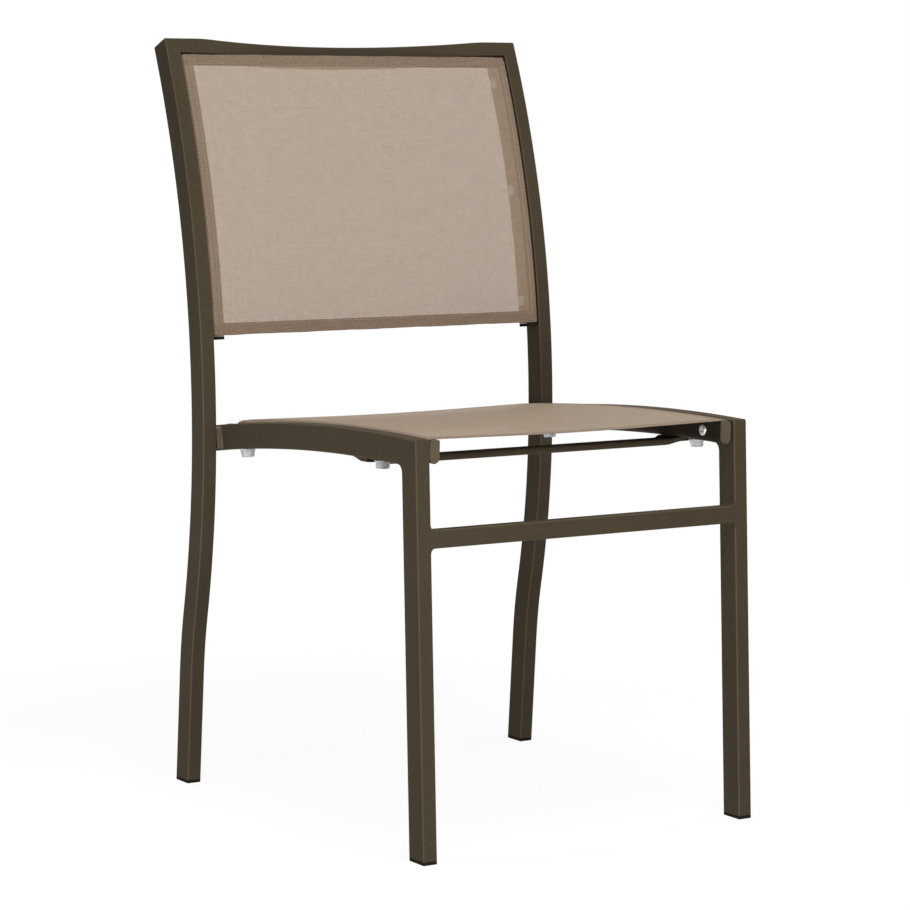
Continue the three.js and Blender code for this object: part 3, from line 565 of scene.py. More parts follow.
def crown_place(x, slope, height, radius):
    """A point of a crowned path, from its slope there."""
    return point(x, SEAT_CROWN_Y - radius * math.sin(slope), height - radius * (1 - math.cos(slope)))


corner_y = 0.0
for _ in range(8):
    crown = math.sqrt(SEAT_RAIL_RADIUS ** 2 - (corner_y - SEAT_CROWN_Y) ** 2) - SEAT_RAIL_RADIUS
    corner_y = math.tan(FRONT_LEG_LEAN) * (SEAT_RAIL_HEIGHT + crown)
rail_end_y = waist_y + TUBE_DEPTH / 2 - SEAT_RAIL_REAR_INSET
spacer_front_y = waist_y - TUBE_DEPTH / 2 + SPACER_FRONT_INSET
spreader_y = corner_y + SPREADER_REACH
bumper_ys = (corner_y + BUMPER_FRONT_REACH, waist_y - BUMPER_REAR_REACH)


def rail_middle(x, slope):
    """The station on a seat rail's middle line where it has the slope."""
    place = crown_place(x, slope, SEAT_RAIL_HEIGHT, SEAT_RAIL_RADIUS)
    return Station(place, crown_heading(slope), X_AXIS)


def rail_underside(x, y):
    """The face under the seat rail: its point, its downward normal and its heading."""
    middle = rail_middle(x, crown_slope(y, SEAT_RAIL_RADIUS))
    return middle.place + middle.deep * TUBE_DEPTH / 2, middle.deep, middle.heading


rail_corner = rail_middle(LEG_X, crown_slope(corner_y, SEAT_RAIL_RADIUS))


# Paths of the slings
seat_height = SEAT_RAIL_HEIGHT + SEAT_SLING_RISE
seat_front_y = corner_y - TUBE_DEPTH / 2 + SEAT_RAIL_SETBACK
seat_rear_y = waist_y - CROSS_DEPTH / 2 - SEAT_SLING_REAR_GAP
seat_middle_y = (seat_front_y + seat_rear_y) / 2
seat_screw_slopes = [
    crown_slope(y, SEAT_SLING_RADIUS)
    for y in (seat_front_y + SEAT_SCREW_INSET, seat_middle_y, seat_rear_y - SEAT_SCREW_INSET)
]
seat_range = [crown_slope(y, SEAT_SLING_RADIUS) for y in (seat_front_y, seat_rear_y)]
back_top = top_lean - (TUBE_WIDTH / 2 + BACK_RAIL_TOP_GAP) / BACK_RADIUS
back_bottom = back_top - BACK_RAIL_LENGTH / BACK_RADIUS
back_turn = BACK_SCREW_INSET / BACK_RADIUS
back_screw_leans = (back_bottom + back_turn, (back_bottom + back_top) / 2, back_top - back_turn)
back_range = (back_bottom, back_top)


def seat_station(slope, x=0.0, rise=0.0):
    """On the seat's middle line, x towards -X and the rise towards the sitter."""
    place = crown_place(-x, slope, seat_height + rise, SEAT_SLING_RADIUS + rise)
    return Station(place, crown_heading(slope), -X_AXIS)


def back_station(lean, x=0.0, rise=0.0):
    """On the back's middle line, x towards -X and the rise towards the sitter."""
    radius = BACK_RADIUS + BACK_FORWARD + rise
    y = back_centre[1] - radius * math.cos(lean)
    z = back_centre[2] + radius * math.sin(lean)
    return Station([-x, y, z], leaning(lean), -X_AXIS)


def stations_between(station_at, span, steps, x=0.0, rise=0.0):
    return [station_at(a, x, rise) for a in np.linspace(*span, steps + 1)]


frame_outline = rounded_rectangle(TUBE_WIDTH, TUBE_DEPTH, TUBE_CORNER)
cross_outline = rounded_rectangle(CROSS_HEIGHT, CROSS_DEPTH, CROSS_CORNER)


def upright():
    stations = upright_route.stations
    rows = [cut_row(rear_foot, frame_outline, point(0, 0, GLIDE_HEIGHT), Z_AXIS)]
    for station in stations[1:]:
        if (top_corner - station.place) @ top_along > TUBE_WIDTH:
            rows.append(laid(station, frame_outline))
    rows += mitre_rows(stations[-1], top_along, -X_AXIS)
    return sweep(Skin(), rows, (-Z_AXIS, None))


def top_rail():
    reach = UPRIGHT_X - TOP_RAIL_END
    bend = math.asin(reach / (TOP_RAIL_RADIUS + TOP_RAIL_EASE))
    route = Route(top_corner * [-1, 1, 1], X_AXIS, top_along)
    route.go(TOP_RAIL_END)
    route.turn(top_along, TOP_RAIL_EASE, bend)
    route.turn(top_along, TOP_RAIL_RADIUS, -2 * bend)
    route.turn(top_along, TOP_RAIL_EASE, bend)
    route.go(TOP_RAIL_END)
    stations = route.stations
    near = mitre_rows(stations[0], -X_AXIS, -top_along)
    far = mitre_rows(stations[-1], X_AXIS, -top_along)
    rows = near[::-1] + [laid(s, frame_outline) for s in stations[1:-1]] + far
    return sweep(Skin(), rows)


def front_leg():
    corner = Station(rail_corner.place, leg_along, X_AXIS)
    rows = [cut_row(front_foot, frame_outline, point(0, 0, GLIDE_HEIGHT), Z_AXIS)]
    rows.append(laid(corner.moved(-2 * TUBE_DEPTH), frame_outline))
    rows += mitre_rows(corner, leg_along, rail_corner.heading)
    return sweep(Skin(), rows, (-Z_AXIS, None))


def seat_rail():
    along, down = rail_corner.heading, rail_corner.deep
    rows = mitre_rows(rail_corner, -along, -leg_along)[::-1]
    start = crown_slope(corner_y + 0.7 * TUBE_DEPTH, SEAT_RAIL_RADIUS)
    end = crown_slope(rail_end_y, SEAT_RAIL_RADIUS)
    for slope in np.linspace(start, end, 41):
        rows.append(laid(rail_middle(LEG_X, slope), frame_outline))
    skin = sweep(Skin(), rows, (None, crown_heading(end)))
    inner = rail_corner.place + leg_along * TUBE_DEPTH / 2 / (leg_along @ down)
    inner = inner + along * TUBE_DEPTH / 2 / (along @ leg_rear)
    side = TUBE_WIDTH / 2 - TUBE_CORNER
    right = quarter(0, side, 0, TUBE_CORNER, 6)
    profile = [(x, TUBE_CORNER - y, nx, ny) for x, y, nx, ny in right]
    profile += [(-x, e, -nx, ny) for x, e, nx, ny in profile[::-1]]
    return inner_fillet(skin, inner, along, -leg_along, X_AXIS, profile, CORNER_FILLET)


def bead(skin, station, outline, reach):
    """A weld bead all round a tube that ends on a face at the station and leaves it forwards."""
    edges = [(reach * (1 - c), reach * (s - 1), c, s) for c, s in quarter_turn(8)]
    return sweep(skin, edge_rows(station, outline, edges))


def between_beads(skin, station, outline, length, fillet):
    """A bar between two weld beads; the length reaches from face to face."""
    return sweep(skin, [laid(station.moved(d), outline) for d in (fillet, length - fillet)])


def rail_spacer():
    """A block between a seat rail and its upright, with a bead at both faces."""
    beads = 1.2 * SPACER_FILLET
    depth = rail_end_y - spacer_front_y - beads
    outline = rounded_rectangle(SPACER_HEIGHT - beads, depth, SPACER_CORNER)
    slope = crown_slope((spacer_front_y + rail_end_y) / 2, SEAT_RAIL_RADIUS)
    middle = rail_middle(LEG_SPAN / 2, slope)
    inner = Station(middle.place, X_AXIS, -middle.deep)
    outer = Station(middle.place + X_AXIS * SPACER_WIDTH, -X_AXIS, -middle.deep)
    skin = bead(Skin(), inner, outline, SPACER_FILLET)
    bead(skin, outer, outline, SPACER_FILLET)
    return between_beads(skin, inner, outline, SPACER_WIDTH, SPACER_FILLET)


def front_stretcher():
    """The tube between the front legs. Its weld at each leg goes round three sides and ends flush
    with the front, where the tube lies flush with the leg."""
    along = (SEAT_RAIL_HEIGHT - STRETCHER_DROP) / leg_along[2]
    middle = point(0, 0, 0) + leg_along * along + leg_rear * (CROSS_DEPTH - TUBE_DEPTH) / 2
    right = Station(middle + X_AXIS * SEAT_RAIL_INNER_X, -X_AXIS, leg_along)
    skin = between_beads(Skin(), right, cross_outline, 2 * SEAT_RAIL_INNER_X, CROSS_FILLET)
    front_sign = math.copysign(1, -right.deep @ leg_rear)
    start = np.flatnonzero(cross_outline[:, 3] * front_sign > 1 - 1e-6)[-1]
    rings, ring_normals = [], []
    for c, s in quarter_turn(8):
        points, normals = [], []
        for x, y, nx, ny in np.roll(cross_outline, -start, axis=0):
            if ny * front_sign > 1e-9:
                radius = CROSS_FILLET + CROSS_CORNER * (1 - abs(nx))
                height = math.copysign(CROSS_HEIGHT / 2 + CROSS_FILLET - radius * s, x)
                deep, forward = y, CROSS_FILLET - radius * c
                normal = right.wide * nx * s + right.heading * abs(nx) * c + right.deep * ny
            else:
                spread = CROSS_FILLET * (1 - s)
                height, deep, forward = x + nx * spread, y + ny * spread, CROSS_FILLET * (1 - c)
                normal = (right.wide * nx + right.deep * ny) * s + right.heading * c
            offset = right.wide * height + right.deep * deep + right.heading * forward
            points.append(right.place + offset)
            normals.append(unit(normal))
        rings.append(points)
        ring_normals.append(normals)
    weld = Skin()
    weld.grid(rings, ring_normals)
    upper = [ring[0] for ring in rings]
    lower = [ring[-1] for ring in rings]
    weld.face([*upper, *lower[::-1]], -leg_rear)
    skin.joined(weld)
    skin.joined(weld.mirrored())
    return skin


def rear_cross_rail():
    middle = rail_middle(SEAT_RAIL_INNER_X, crown_slope(waist_y, SEAT_RAIL_RADIUS))
    up = -middle.deep
    right = Station(middle.place + up * REAR_CROSS_RISE, -X_AXIS, up)
    skin = bead(Skin(), right, cross_outline, REAR_CROSS_FILLET)
    skin.joined(skin.mirrored())
    return between_beads(skin, right, cross_outline, 2 * SEAT_RAIL_INNER_X, REAR_CROSS_FILLET)


def eased(share):
    share = min(max(share, 0), 1)
    return share * share * (3 - 2 * share)


def bar_outline(width, thickness, squashed):
    """A bar's section, x to the rear and y up. Squashed, it is flat on top and thins out to the
    rear."""
    x, y = width / 2, thickness / 2
    bottom, top = y * (1 - 0.6 * squashed), y * (1 - 0.85 * squashed)
    low = np.linspace(bottom - x, x - bottom, 22)
    outline = np.vstack([
        quarter(0, x - top, y - top, top, 6)[:, :2],
        quarter(1, top - x, y - top, top, 6)[:, :2],
        quarter(2, bottom - x, bottom - y, bottom, 6)[:-1, :2],
        np.column_stack([low, np.full(len(low), -y)]),
        quarter(3, x - bottom, bottom - y, bottom, 6)[1:, :2],
    ])
    shares = [eased((px - x + SPREADER_TAPER) / SPREADER_TAPER) for px in outline[:, 0]]
    outline[:, 1] = y - (y - outline[:, 1]) * (1 - 0.9 * squashed * np.array(shares))
    run = np.roll(outline, -1, axis=0) - np.roll(outline, 1, axis=0)
    run /= np.linalg.norm(run, axis=1, keepdims=True)
    return np.column_stack([outline, run[:, 1], -run[:, 0]])


def spreader():
    place, down, heading = rail_underside(0, spreader_y)
    end_x = LEG_SPAN / 2 - SPREADER_END_INSET
    flat_x = end_x - SPREADER_END_LENGTH
    flare_x = flat_x - SPREADER_FLARE
    tip_x = end_x - SPREADER_TIP_LENGTH
    lost = 1 - SPREADER_TIP_WIDTH / SPREADER_END_WIDTH
    spots = [(0.0, 0.0, 1.0)]
    spots += [(flare_x + SPREADER_FLARE * k / 12, eased(k / 12), 1.0) for k in range(13)]
    spots += [(tip_x + SPREADER_TIP_LENGTH * s, 1.0, 1 - (1 - c) * lost) for c, s in quarter_turn(8)]
    rows = []
    for x, share, narrow in [(-x, s, n) for x, s, n in spots[:0:-1]] + spots:
        thickness = SPREADER_THICKNESS + (SPREADER_END_THICKNESS - SPREADER_THICKNESS) * share
        width = (SPREADER_WIDTH + (SPREADER_END_WIDTH - SPREADER_WIDTH) * share) * narrow
        drop = UNDERSIDE_GAP * (1 - 0.8 * share) + SPREADER_DROP * (1 - share)
        middle = place + X_AXIS * x + down * (drop + thickness / 2)
        rows.append(laid(Station(middle, X_AXIS, heading), bar_outline(width, thickness, share)))
    return sweep(Skin(), rows, (-X_AXIS, X_AXIS))


def flat_screw():
    place, down, _ = rail_underside(LEG_X, spreader_y)
    face = place + down * (UNDERSIDE_GAP + SPREADER_END_THICKNESS + FLAT_SCREW_RISE)
    corners = [
        (0, FLAT_SOCKET_RIM), (0, FLAT_HEAD), (-FLAT_HEAD_RIM, FLAT_HEAD),
        (-FLAT_HEAD_HEIGHT, FLAT_SCREW_RADIUS), (-FLAT_SCREW_LENGTH, FLAT_SCREW_RADIUS),
        (-FLAT_SCREW_LENGTH, 0),
    ]
    radii = [0.15 * MM, 0, 0, 0.3 * MM]
    return screw(face, down, corners, radii, FLAT_SOCKET_RADIUS, FLAT_SOCKET_DEPTH)


def closed_sides(x):
    """A sling rail's sides without the slot, for half its width. The outline's x points to the
    middle of the chair and its y to the sitter."""
    y = RAIL_DEPTH / 2
    return np.vstack([
        arc(0, x - y, x, 2 * QUARTER, 4 * QUARTER, 20),
        quarter(0, x - RAIL_EDGE, y - RAIL_EDGE, RAIL_EDGE, 5),
        quarter(1, RAIL_ROUND - x, y - RAIL_ROUND, RAIL_ROUND, 8),
    ])


def sling_rail_outline():
    """The sides and, from the outer side, the slot with the rod's round channel."""
    turn = 2 * QUARTER - math.asin(SLOT_HEIGHT / 2 / CHANNEL_RADIUS)
    slot_x = SLOT_EDGE - RAIL_WIDTH / 2
    slot_y = SLOT_HEIGHT / 2 + SLOT_EDGE
    return np.vstack([
        closed_sides(RAIL_WIDTH / 2),
        quarter(2, slot_x, CHANNEL_RISE + slot_y, SLOT_EDGE, 3),
        arc(CHANNEL_INSET, CHANNEL_RISE, CHANNEL_RADIUS, turn, -turn, 20, -1),
        quarter(1, slot_x, CHANNEL_RISE - slot_y, SLOT_EDGE, 3),
    ])


def extrusion(stations, outline):
    caps = (-stations[0].heading, stations[-1].heading)
    return sweep(Skin(), [laid(s, outline) for s in stations], caps)


def sling_rail(station_at, span, x):
    return extrusion(stations_between(station_at, span, 40, -x), sling_rail_outline())


def end_cap(station_at, angle, x, outward, thickness):
    """A cap past a rail's end. Outward is 1 at the end of the rail's path and -1 at its start."""
    start, end = CAP_GAP, CAP_GAP + thickness
    edges = (CAP_INNER_EDGE, CAP_OUTER_EDGE)
    if outward < 0:
        start, end, edges = -end, -start, edges[::-1]
    return plate(station_at(angle, -x), closed_sides(RAIL_WIDTH / 2 + CAP_OVERHANG), start, end, *edges)


def rod(station_at, span, x, inset):
    step = math.copysign(inset, span[1] - span[0])
    rod_span = (span[0] + step, span[1] - step)
    outline = arc(0, 0, ROD_RADIUS, 0, 4 * QUARTER, 20)[:-1]
    return extrusion(stations_between(station_at, rod_span, 30, CHANNEL_INSET - x, CHANNEL_RISE), outline)


def pan_screw(station_at, angle, x):
    face = station_at(angle, -x).place - X_AXIS * (RAIL_WIDTH / 2 + CAP_GAP)
    corners = [
        (SCREW_HEAD_HEIGHT, SOCKET_RIM), (SCREW_HEAD_HEIGHT - 0.15 * MM, 0.72 * SCREW_HEAD),
        (0.62 * SCREW_HEAD_HEIGHT, SCREW_HEAD), (0, SCREW_HEAD), (0, SCREW_RADIUS),
        (-SCREW_LENGTH, SCREW_RADIUS), (-SCREW_LENGTH, 0),
    ]
    radii = [1.2 * MM, 0.9 * MM, 0.2 * MM, 0, 0.4 * MM]
    return screw(face, -X_AXIS, corners, radii, SOCKET_RADIUS, SOCKET_DEPTH)


def bumper(y):
    """A stepped foot with a dimple, and the stem that holds it in the rail."""
    place, down, _ = rail_underside(LEG_X, y)
    dimple = BUMPER_HEIGHT - BUMPER_DIMPLE
    corners = [
        (dimple, 0), (dimple, 3.6 * MM), (BUMPER_HEIGHT, 4.4 * MM), (BUMPER_HEIGHT, BUMPER_FOOT),
        (BUMPER_FLANGE, BUMPER_TOP - 0.7 * MM), (BUMPER_FLANGE, BUMPER_TOP), (0, BUMPER_TOP),
        (0, BUMPER_STEM), (-BUMPER_STEM_LENGTH, BUMPER_STEM), (-BUMPER_STEM_LENGTH, 0),
    ]
    radii = [0.3 * MM, 0.4 * MM, 1.3 * MM, 0.3 * MM, 0.6 * MM, 0.2 * MM, 0, 0.5 * MM]
    return lathe(rounded_line(corners, radii), place + down * UNDERSIDE_GAP, down)


def glide(foot):
    """A level foot under a leaning tube, both rims rounded."""
    rows = []
    for height, inset, up, out in rims(0, GLIDE_HEIGHT, GLIDE_LOW_EDGE, GLIDE_TOP_EDGE):
        points, normals = cut_row(foot, grown(frame_outline, -inset), Z_AXIS * height, Z_AXIS)
        rows.append((points, normals * out + Z_AXIS * up))
    return sweep(Skin(), rows, (-Z_AXIS, Z_AXIS))


def end_plug():
    station = rail_middle(LEG_X, crown_slope(rail_end_y, SEAT_RAIL_RADIUS))
    end = WELD_GAP + END_PLUG_FLANGE
    return plate(station, frame_outline, END_PLUG_START, end, CAP_INNER_EDGE, END_PLUG_EDGE)


# Woven slings. A sheet's path across runs from one rod over the sitter's side to the other.
FIELD_LIFT = 0.95 * MM
HEM_LIFT = 0.35 * MM
HEM_LENGTH = 14 * MM
POCKET = 2.1 * MM
DIP_RADIUS = 1 * MM
SEAT_SAG = (2.2 * MM, 3.2 * MM)
BACK_SAG = (0.2 * MM, 2.2 * MM)
EDGE_STRAY = 0.35 * MM
EDGE_STRAY_REACH = 6 * MM
FOLD_STRAY = 0.5 * MM
STITCH_STRAY = 0.25 * MM
THREAD_RADIUS = 0.33 * MM
THREAD_LIFT = 0.28 * MM
STITCH_PITCH = 4.6 * MM
STITCH_GAP = 0.19
HEM_STITCH_INSET = 2.2 * MM
SIDE_STITCH_INSET = 1.5 * MM
SEAT_STITCH_MARKS = (SEAT_SLING_RAIL_X - 3 * MM, SEAT_SLING_RAIL_X + 4.2 * MM)
BACK_STITCH_MARKS = (219 * MM, 225.4 * MM)


def across_path(rail_x, lift):
    """Half of the path across, from the middle to the rod: x, y and the outward normal."""
    x, y = RAIL_WIDTH / 2, RAIL_DEPTH / 2
    flat_end = rail_x + x - RAIL_ROUND
    dip_x = rail_x + x + lift - DIP_RADIUS
    return np.vstack([
        [(flat_end * k / 44, y + lift, 0.0, 1.0) for k in range(44)],
        arc(flat_end, y - RAIL_ROUND, RAIL_ROUND + lift, QUARTER, 0, 10),
        arc(dip_x, CHANNEL_RISE + DIP_RADIUS, DIP_RADIUS, 0, -QUARTER, 5),
        arc(rail_x - CHANNEL_INSET, CHANNEL_RISE, POCKET, -0.2, 0.2 - 4 * QUARTER, 18),
    ])


def sheet_path(rail_x, lift):
    half = across_path(rail_x, lift)
    other = half[:0:-1] * [-1, 1, -1, 1]
    return np.vstack([other, half])


def length_along(points):
    steps = np.linalg.norm(np.diff(points, axis=0), axis=1)
    return np.concatenate([[0], np.cumsum(steps)])


def hem_profile(length):
    """Rows of the place along and the lift: under hem, fold, field, fold and under hem."""
    fold = (FIELD_LIFT - HEM_LIFT) / 2
    middle = (FIELD_LIFT + HEM_LIFT) / 2
    start = [(HEM_LENGTH, HEM_LIFT), (HEM_LENGTH / 2, HEM_LIFT)]
    for k in range(9):
        a = 2 * QUARTER * k / 8
        start.append((fold - fold * math.sin(a), middle - fold * math.cos(a)))
    field = [(s, FIELD_LIFT) for s in np.linspace(fold, length - fold, 130)[1:-1]]
    return start + field + [(length - s, lift) for s, lift in start[::-1]]


def waver(x, seed, size):
    """A small smooth unevenness of a sewn edge."""
    slow = math.sin(x * 61 + seed)
    quick = 0.6 * math.sin(x * 137 + 2.1 * seed) + 0.4 * math.sin(x * 263 + 3.7 * seed)
    return size * (slow + quick) / 2


class Sling:
    """A stretched sling: where it lies, how it sags and its hems."""

    def __init__(self, station_at, span, insets, rail_x, radius, sag, seed):
        self.station_at, self.rail_x, self.sag, self.seed = station_at, rail_x, sag, seed
        direction = math.copysign(1, span[1] - span[0])
        self.start = span[0] + direction * insets[0] / radius
        self.turn = direction / radius
        self.length = abs(span[1] - span[0]) * radius - insets[0] - insets[1]
        self.free = rail_x - RAIL_WIDTH / 2

    def place(self, along, x, y, normal=(0.0, 1.0)):
        """A point of the cloth and its normal; along is measured from the first hem."""
        station = self.station_at(self.start + along * self.turn)
        share = min(abs(x) / self.free, 1)
        end = min(max(along / self.length, 0), 1)
        depth = self.sag[0] + (self.sag[1] - self.sag[0]) * math.sin(math.pi * end)
        y = y - depth * (1 - share ** 2) ** 1.5
        slope = 3 * depth * share * math.sqrt(max(0, 1 - share ** 2)) / self.free
        slope = -math.copysign(slope, x) * normal[1]
        out = station.wide * (normal[0] + slope) + station.deep * normal[1]
        return station.place + station.wide * x + station.deep * y, unit(out)

    def edge_shift(self, along, x):
        """How far the sewn edges stray, more at the ends and nowhere in the field."""
        near = math.exp(-max(along, 0) / EDGE_STRAY_REACH)
        far = math.exp(-max(self.length - along, 0) / EDGE_STRAY_REACH)
        return waver(x, self.seed, EDGE_STRAY) * near - waver(x, self.seed + 5, EDGE_STRAY) * far

    def skin(self):
        profile = hem_profile(self.length)
        u = length_along(sheet_path(self.rail_x, FIELD_LIFT)[:, :2])
        v = length_along(np.array(profile))
        u, v = u - u[-1] / 2, v - v[-1] / 2
        cloth, uvs = [], []
        for row, (along, lift) in enumerate(profile):
            folded = row < 2 or row >= len(profile) - 2
            ring = []
            for x, y, nx, ny in sheet_path(self.rail_x, lift):
                stray = self.edge_shift(along, x)
                if folded:
                    stray += waver(x, self.seed + 9, FOLD_STRAY)
                ring.append(self.place(along + stray, x, y, (nx, ny)))
            cloth.append(ring)
            uvs.append(np.column_stack([u, np.full(len(u), v[row])]))
        points, normals = np.moveaxis(np.array(cloth), 2, 0)
        facing = np.cross(np.gradient(points, axis=1), np.gradient(points, axis=0))
        facing /= np.linalg.norm(facing, axis=2, keepdims=True)
        middle = len(profile) // 2
        if (facing[middle] * normals[middle]).sum() < 0:
            facing = -facing
        skin = Skin()
        skin.grid(points, facing, uvs)
        self.flat = (float(u[-1] - u[0]), float(v[-1] - v[0]))
        return skin

    def stitch_row(self, skin, rows):
        """Stitches along a line of (along, x, y, normal) rows that is finely stepped."""
        places = [self.place(along + self.edge_shift(along, x), x, y, n) for along, x, y, n in rows]
        path, out = np.moveaxis(np.array(places), 1, 0)
        lengths = length_along(path)

        def between(spots, values):
            return np.column_stack([np.interp(spots, lengths, values[:, i]) for i in range(3)])

        for k in range(int(lengths[-1] / STITCH_PITCH)):
            start = (k + STITCH_GAP) * STITCH_PITCH
            end = (k + 1 - STITCH_GAP) * STITCH_PITCH
            line = between(np.linspace(start, end, 7), path)
            up = unit(between([(start + end) / 2], out)[0])
            side = unit(np.cross(unit(line[-1] - line[0]), up))
            angles = np.linspace(0, 2 * math.pi, 7)[:-1]
            away = np.array([side * math.cos(a) + up * math.sin(a) for a in angles])
            rings = []
            for i, centre in enumerate(line):
                share = i / 6
                girth = THREAD_RADIUS * math.sin(math.pi * min(max(share, 0.06), 0.94)) ** 0.35
                rise = THREAD_RADIUS * (0.75 * math.sin(math.pi * share) ** 0.5 - 0.35)
                rings.append(centre + up * rise + away * girth)
            skin.grid(rings, [away] * len(rings), closed=True)

    def stitches(self, side_marks):
        """Thread along both hems and both side pockets."""
        skin = Skin()
        top = RAIL_DEPTH / 2 + FIELD_LIFT + THREAD_LIFT
        reach = self.rail_x + RAIL_WIDTH / 2 - RAIL_ROUND
        inset = HEM_LENGTH - HEM_STITCH_INSET
        for along in (inset, self.length - inset):
            seed = self.seed + along * 9
            line = np.linspace(-reach, reach, 160)
            rows = [(along + waver(x, seed, STITCH_STRAY), x, top, (0, 1)) for x in line]
            self.stitch_row(skin, rows)
        centre_y = RAIL_DEPTH / 2 - RAIL_ROUND
        radius = RAIL_ROUND + FIELD_LIFT + THREAD_LIFT
        for side in (1, -1):
            for mark in side_marks:
                if mark <= reach:
                    x, y, normal = mark, top, (0, 1)
                else:
                    c = min((mark - reach) / radius, 1)
                    s = math.sqrt(1 - c * c)
                    x, y, normal = reach + radius * c, centre_y + radius * s, (side * c, s)
                line = np.linspace(SIDE_STITCH_INSET, self.length - SIDE_STITCH_INSET, 160)
                self.stitch_row(skin, [(along, side * x, y, normal) for along in line])
        return skin


seat_sling = Sling(seat_station, seat_range, (SEAT_FABRIC_FRONT, SEAT_FABRIC_REAR), SEAT_SLING_RAIL_X,
                   SEAT_SLING_RADIUS, SEAT_SAG, 1.3)
back_sling = Sling(back_station, back_range, (BACK_FABRIC_BOTTOM, BACK_FABRIC_TOP), BACK_SLING_RAIL_X,
                   BACK_RADIUS, BACK_SAG, 4.1)


# Materials
YARN_PITCH = 1.02 * MM
YARN_EDGE = 0.015
YARN_BOW = 0.45
BAND_EDGE = 0.4 * MM
SLUB_WIDTH = 2.4 * MM
SLUB_LENGTH = 20 * MM


def srgb(red, green, blue):
    """A colour as it is seen, from 0 to 255, as linear values."""
    def linear(value):
        share = value / 255
        return share / 12.92 if share <= 0.04045 else ((share + 0.055) / 1.055) ** 2.4
    return (linear(red), linear(green), linear(blue), 1.0)


def toned(colour, factor):
    """A colour made darker, or lighter up to white."""
    return tuple(min(1.0, c * factor) for c in colour[:3]) + (1.0,)


class Nodes:
    """A short way to write the nodes of a material or of the world."""

    def __init__(self, owner):
        owner.use_nodes = True
        self.owner, self.tree = owner, owner.node_tree
        self.shader = self.found("BSDF_PRINCIPLED", "BACKGROUND")

    def found(self, *kinds):
        return next(n for n in self.tree.nodes if n.type in kinds)

    def node(self, kind, **sockets):
        made = self.tree.nodes.new(kind)
        for name, value in sockets.items():
            self.set(made.inputs[name.replace("_", " ")], value)
        return made

    def set(self, target, value):
        if isinstance(value, bpy.types.NodeSocket):
            self.tree.links.new(value, target)
        else:
            target.default_value = value

    def fill(self, made, *values):
        """Sets a node's first inputs in order."""
        for target, value in zip(made.inputs, values):
            self.set(target, value)
        return made.outputs[0]

    def math(self, operation, first, second=0.0, third=0.0):
        made = self.node("ShaderNodeMath")
        made.operation = operation
        return self.fill(made, first, second, third)

    def times(self, first, second):
        return self.math("MULTIPLY", first, second)

    def mix(self, share, first, second):
        made = self.node("ShaderNodeMix")
        made.data_type = "RGBA"
        self.set(made.inputs[0], share)
        self.set(made.inputs[6], first)
        self.set(made.inputs[7], second)
        return made.outputs[2]

    def noise(self, place, scale, detail=2.0, roughness=0.5):
        made = self.node("ShaderNodeTexNoise", Vector=place, Scale=scale, Detail=detail,
                         Roughness=roughness)
        return made.outputs["Fac"]

    def ramp(self, value, low, high, start, end):
        return self.fill(self.node("ShaderNodeMapRange"), value, low, high, start, end)

    def spread(self, noise, start, end):
        """A noise's usual range, taken to another one."""
        return self.ramp(noise, 0.3, 0.7, start, end)

    def bump(self, height, strength, distance, **below):
        made = self.node("ShaderNodeBump", Height=height, Strength=strength, Distance=distance, **below)
        return made.outputs["Normal"]

    def finish(self, **sockets):
        for name, value in sockets.items():
            self.set(self.shader.inputs[name.replace("_", " ")], value)
        return self.owner

    def place(self):
        return self.node("ShaderNodeTexCoord").outputs["Object"]

    def chart(self):
        """The two coordinates of the texture place."""
        chart = self.node("ShaderNodeUVMap")
        chart.uv_map = "UVMap"
        split = self.node("ShaderNodeSeparateXYZ", Vector=chart.outputs[0])
        return split.outputs[0], split.outputs[1]


def powder_coat(name, tone, darker, roughness):
    """Satin bronze powder coat with a little metal flake: fine specks, a mottle and an orange peel,
    and a painted highlight that lightens the rounded edges."""
    n = Nodes(bpy.data.materials.new(name))
    place = n.place()
    edge, _ = n.chart()
    patches = n.noise(place, 9.0, 3.0, 0.55)
    mottle = n.noise(place, 330.0, 2.0, 0.7)
    specks = n.noise(place, 1300.0, 1.0)
    # The lighter tone serves both the metal flake specks and the painted edge highlight.
    lighter = toned(tone, 2.6)
    colour = n.mix(n.spread(patches, 0.0, 1.0), darker, tone)
    colour = n.mix(n.ramp(mottle, 0.28, 0.62, 0.2, 0.0), colour, toned(darker, 0.62))
    colour = n.mix(n.ramp(specks, 0.56, 0.74, 0.0, 0.38), colour, lighter)
    # Painted highlight: near the middle of a rounded edge the colour is mixed toward the lighter tone.
    colour = n.mix(n.ramp(edge, 0.35, 1.0, 0.0, 0.42), colour, lighter)
    gloss = n.spread(mottle, roughness - 0.06, roughness + 0.06)
    gloss = n.math("ADD", gloss, n.spread(patches, -0.02, 0.02))
    peel = n.bump(specks, 0.2, 0.12 * MM)
    peel = n.bump(n.noise(place, 240.0, 1.0), 0.08, 0.4 * MM, Normal=peel)
    return n.finish(Base_Color=colour, Roughness=gloss, Normal=peel, Metallic=0.12,
                    Specular_IOR_Level=0.03, Specular_Tint=(0.5, 0.43, 0.33, 1.0))


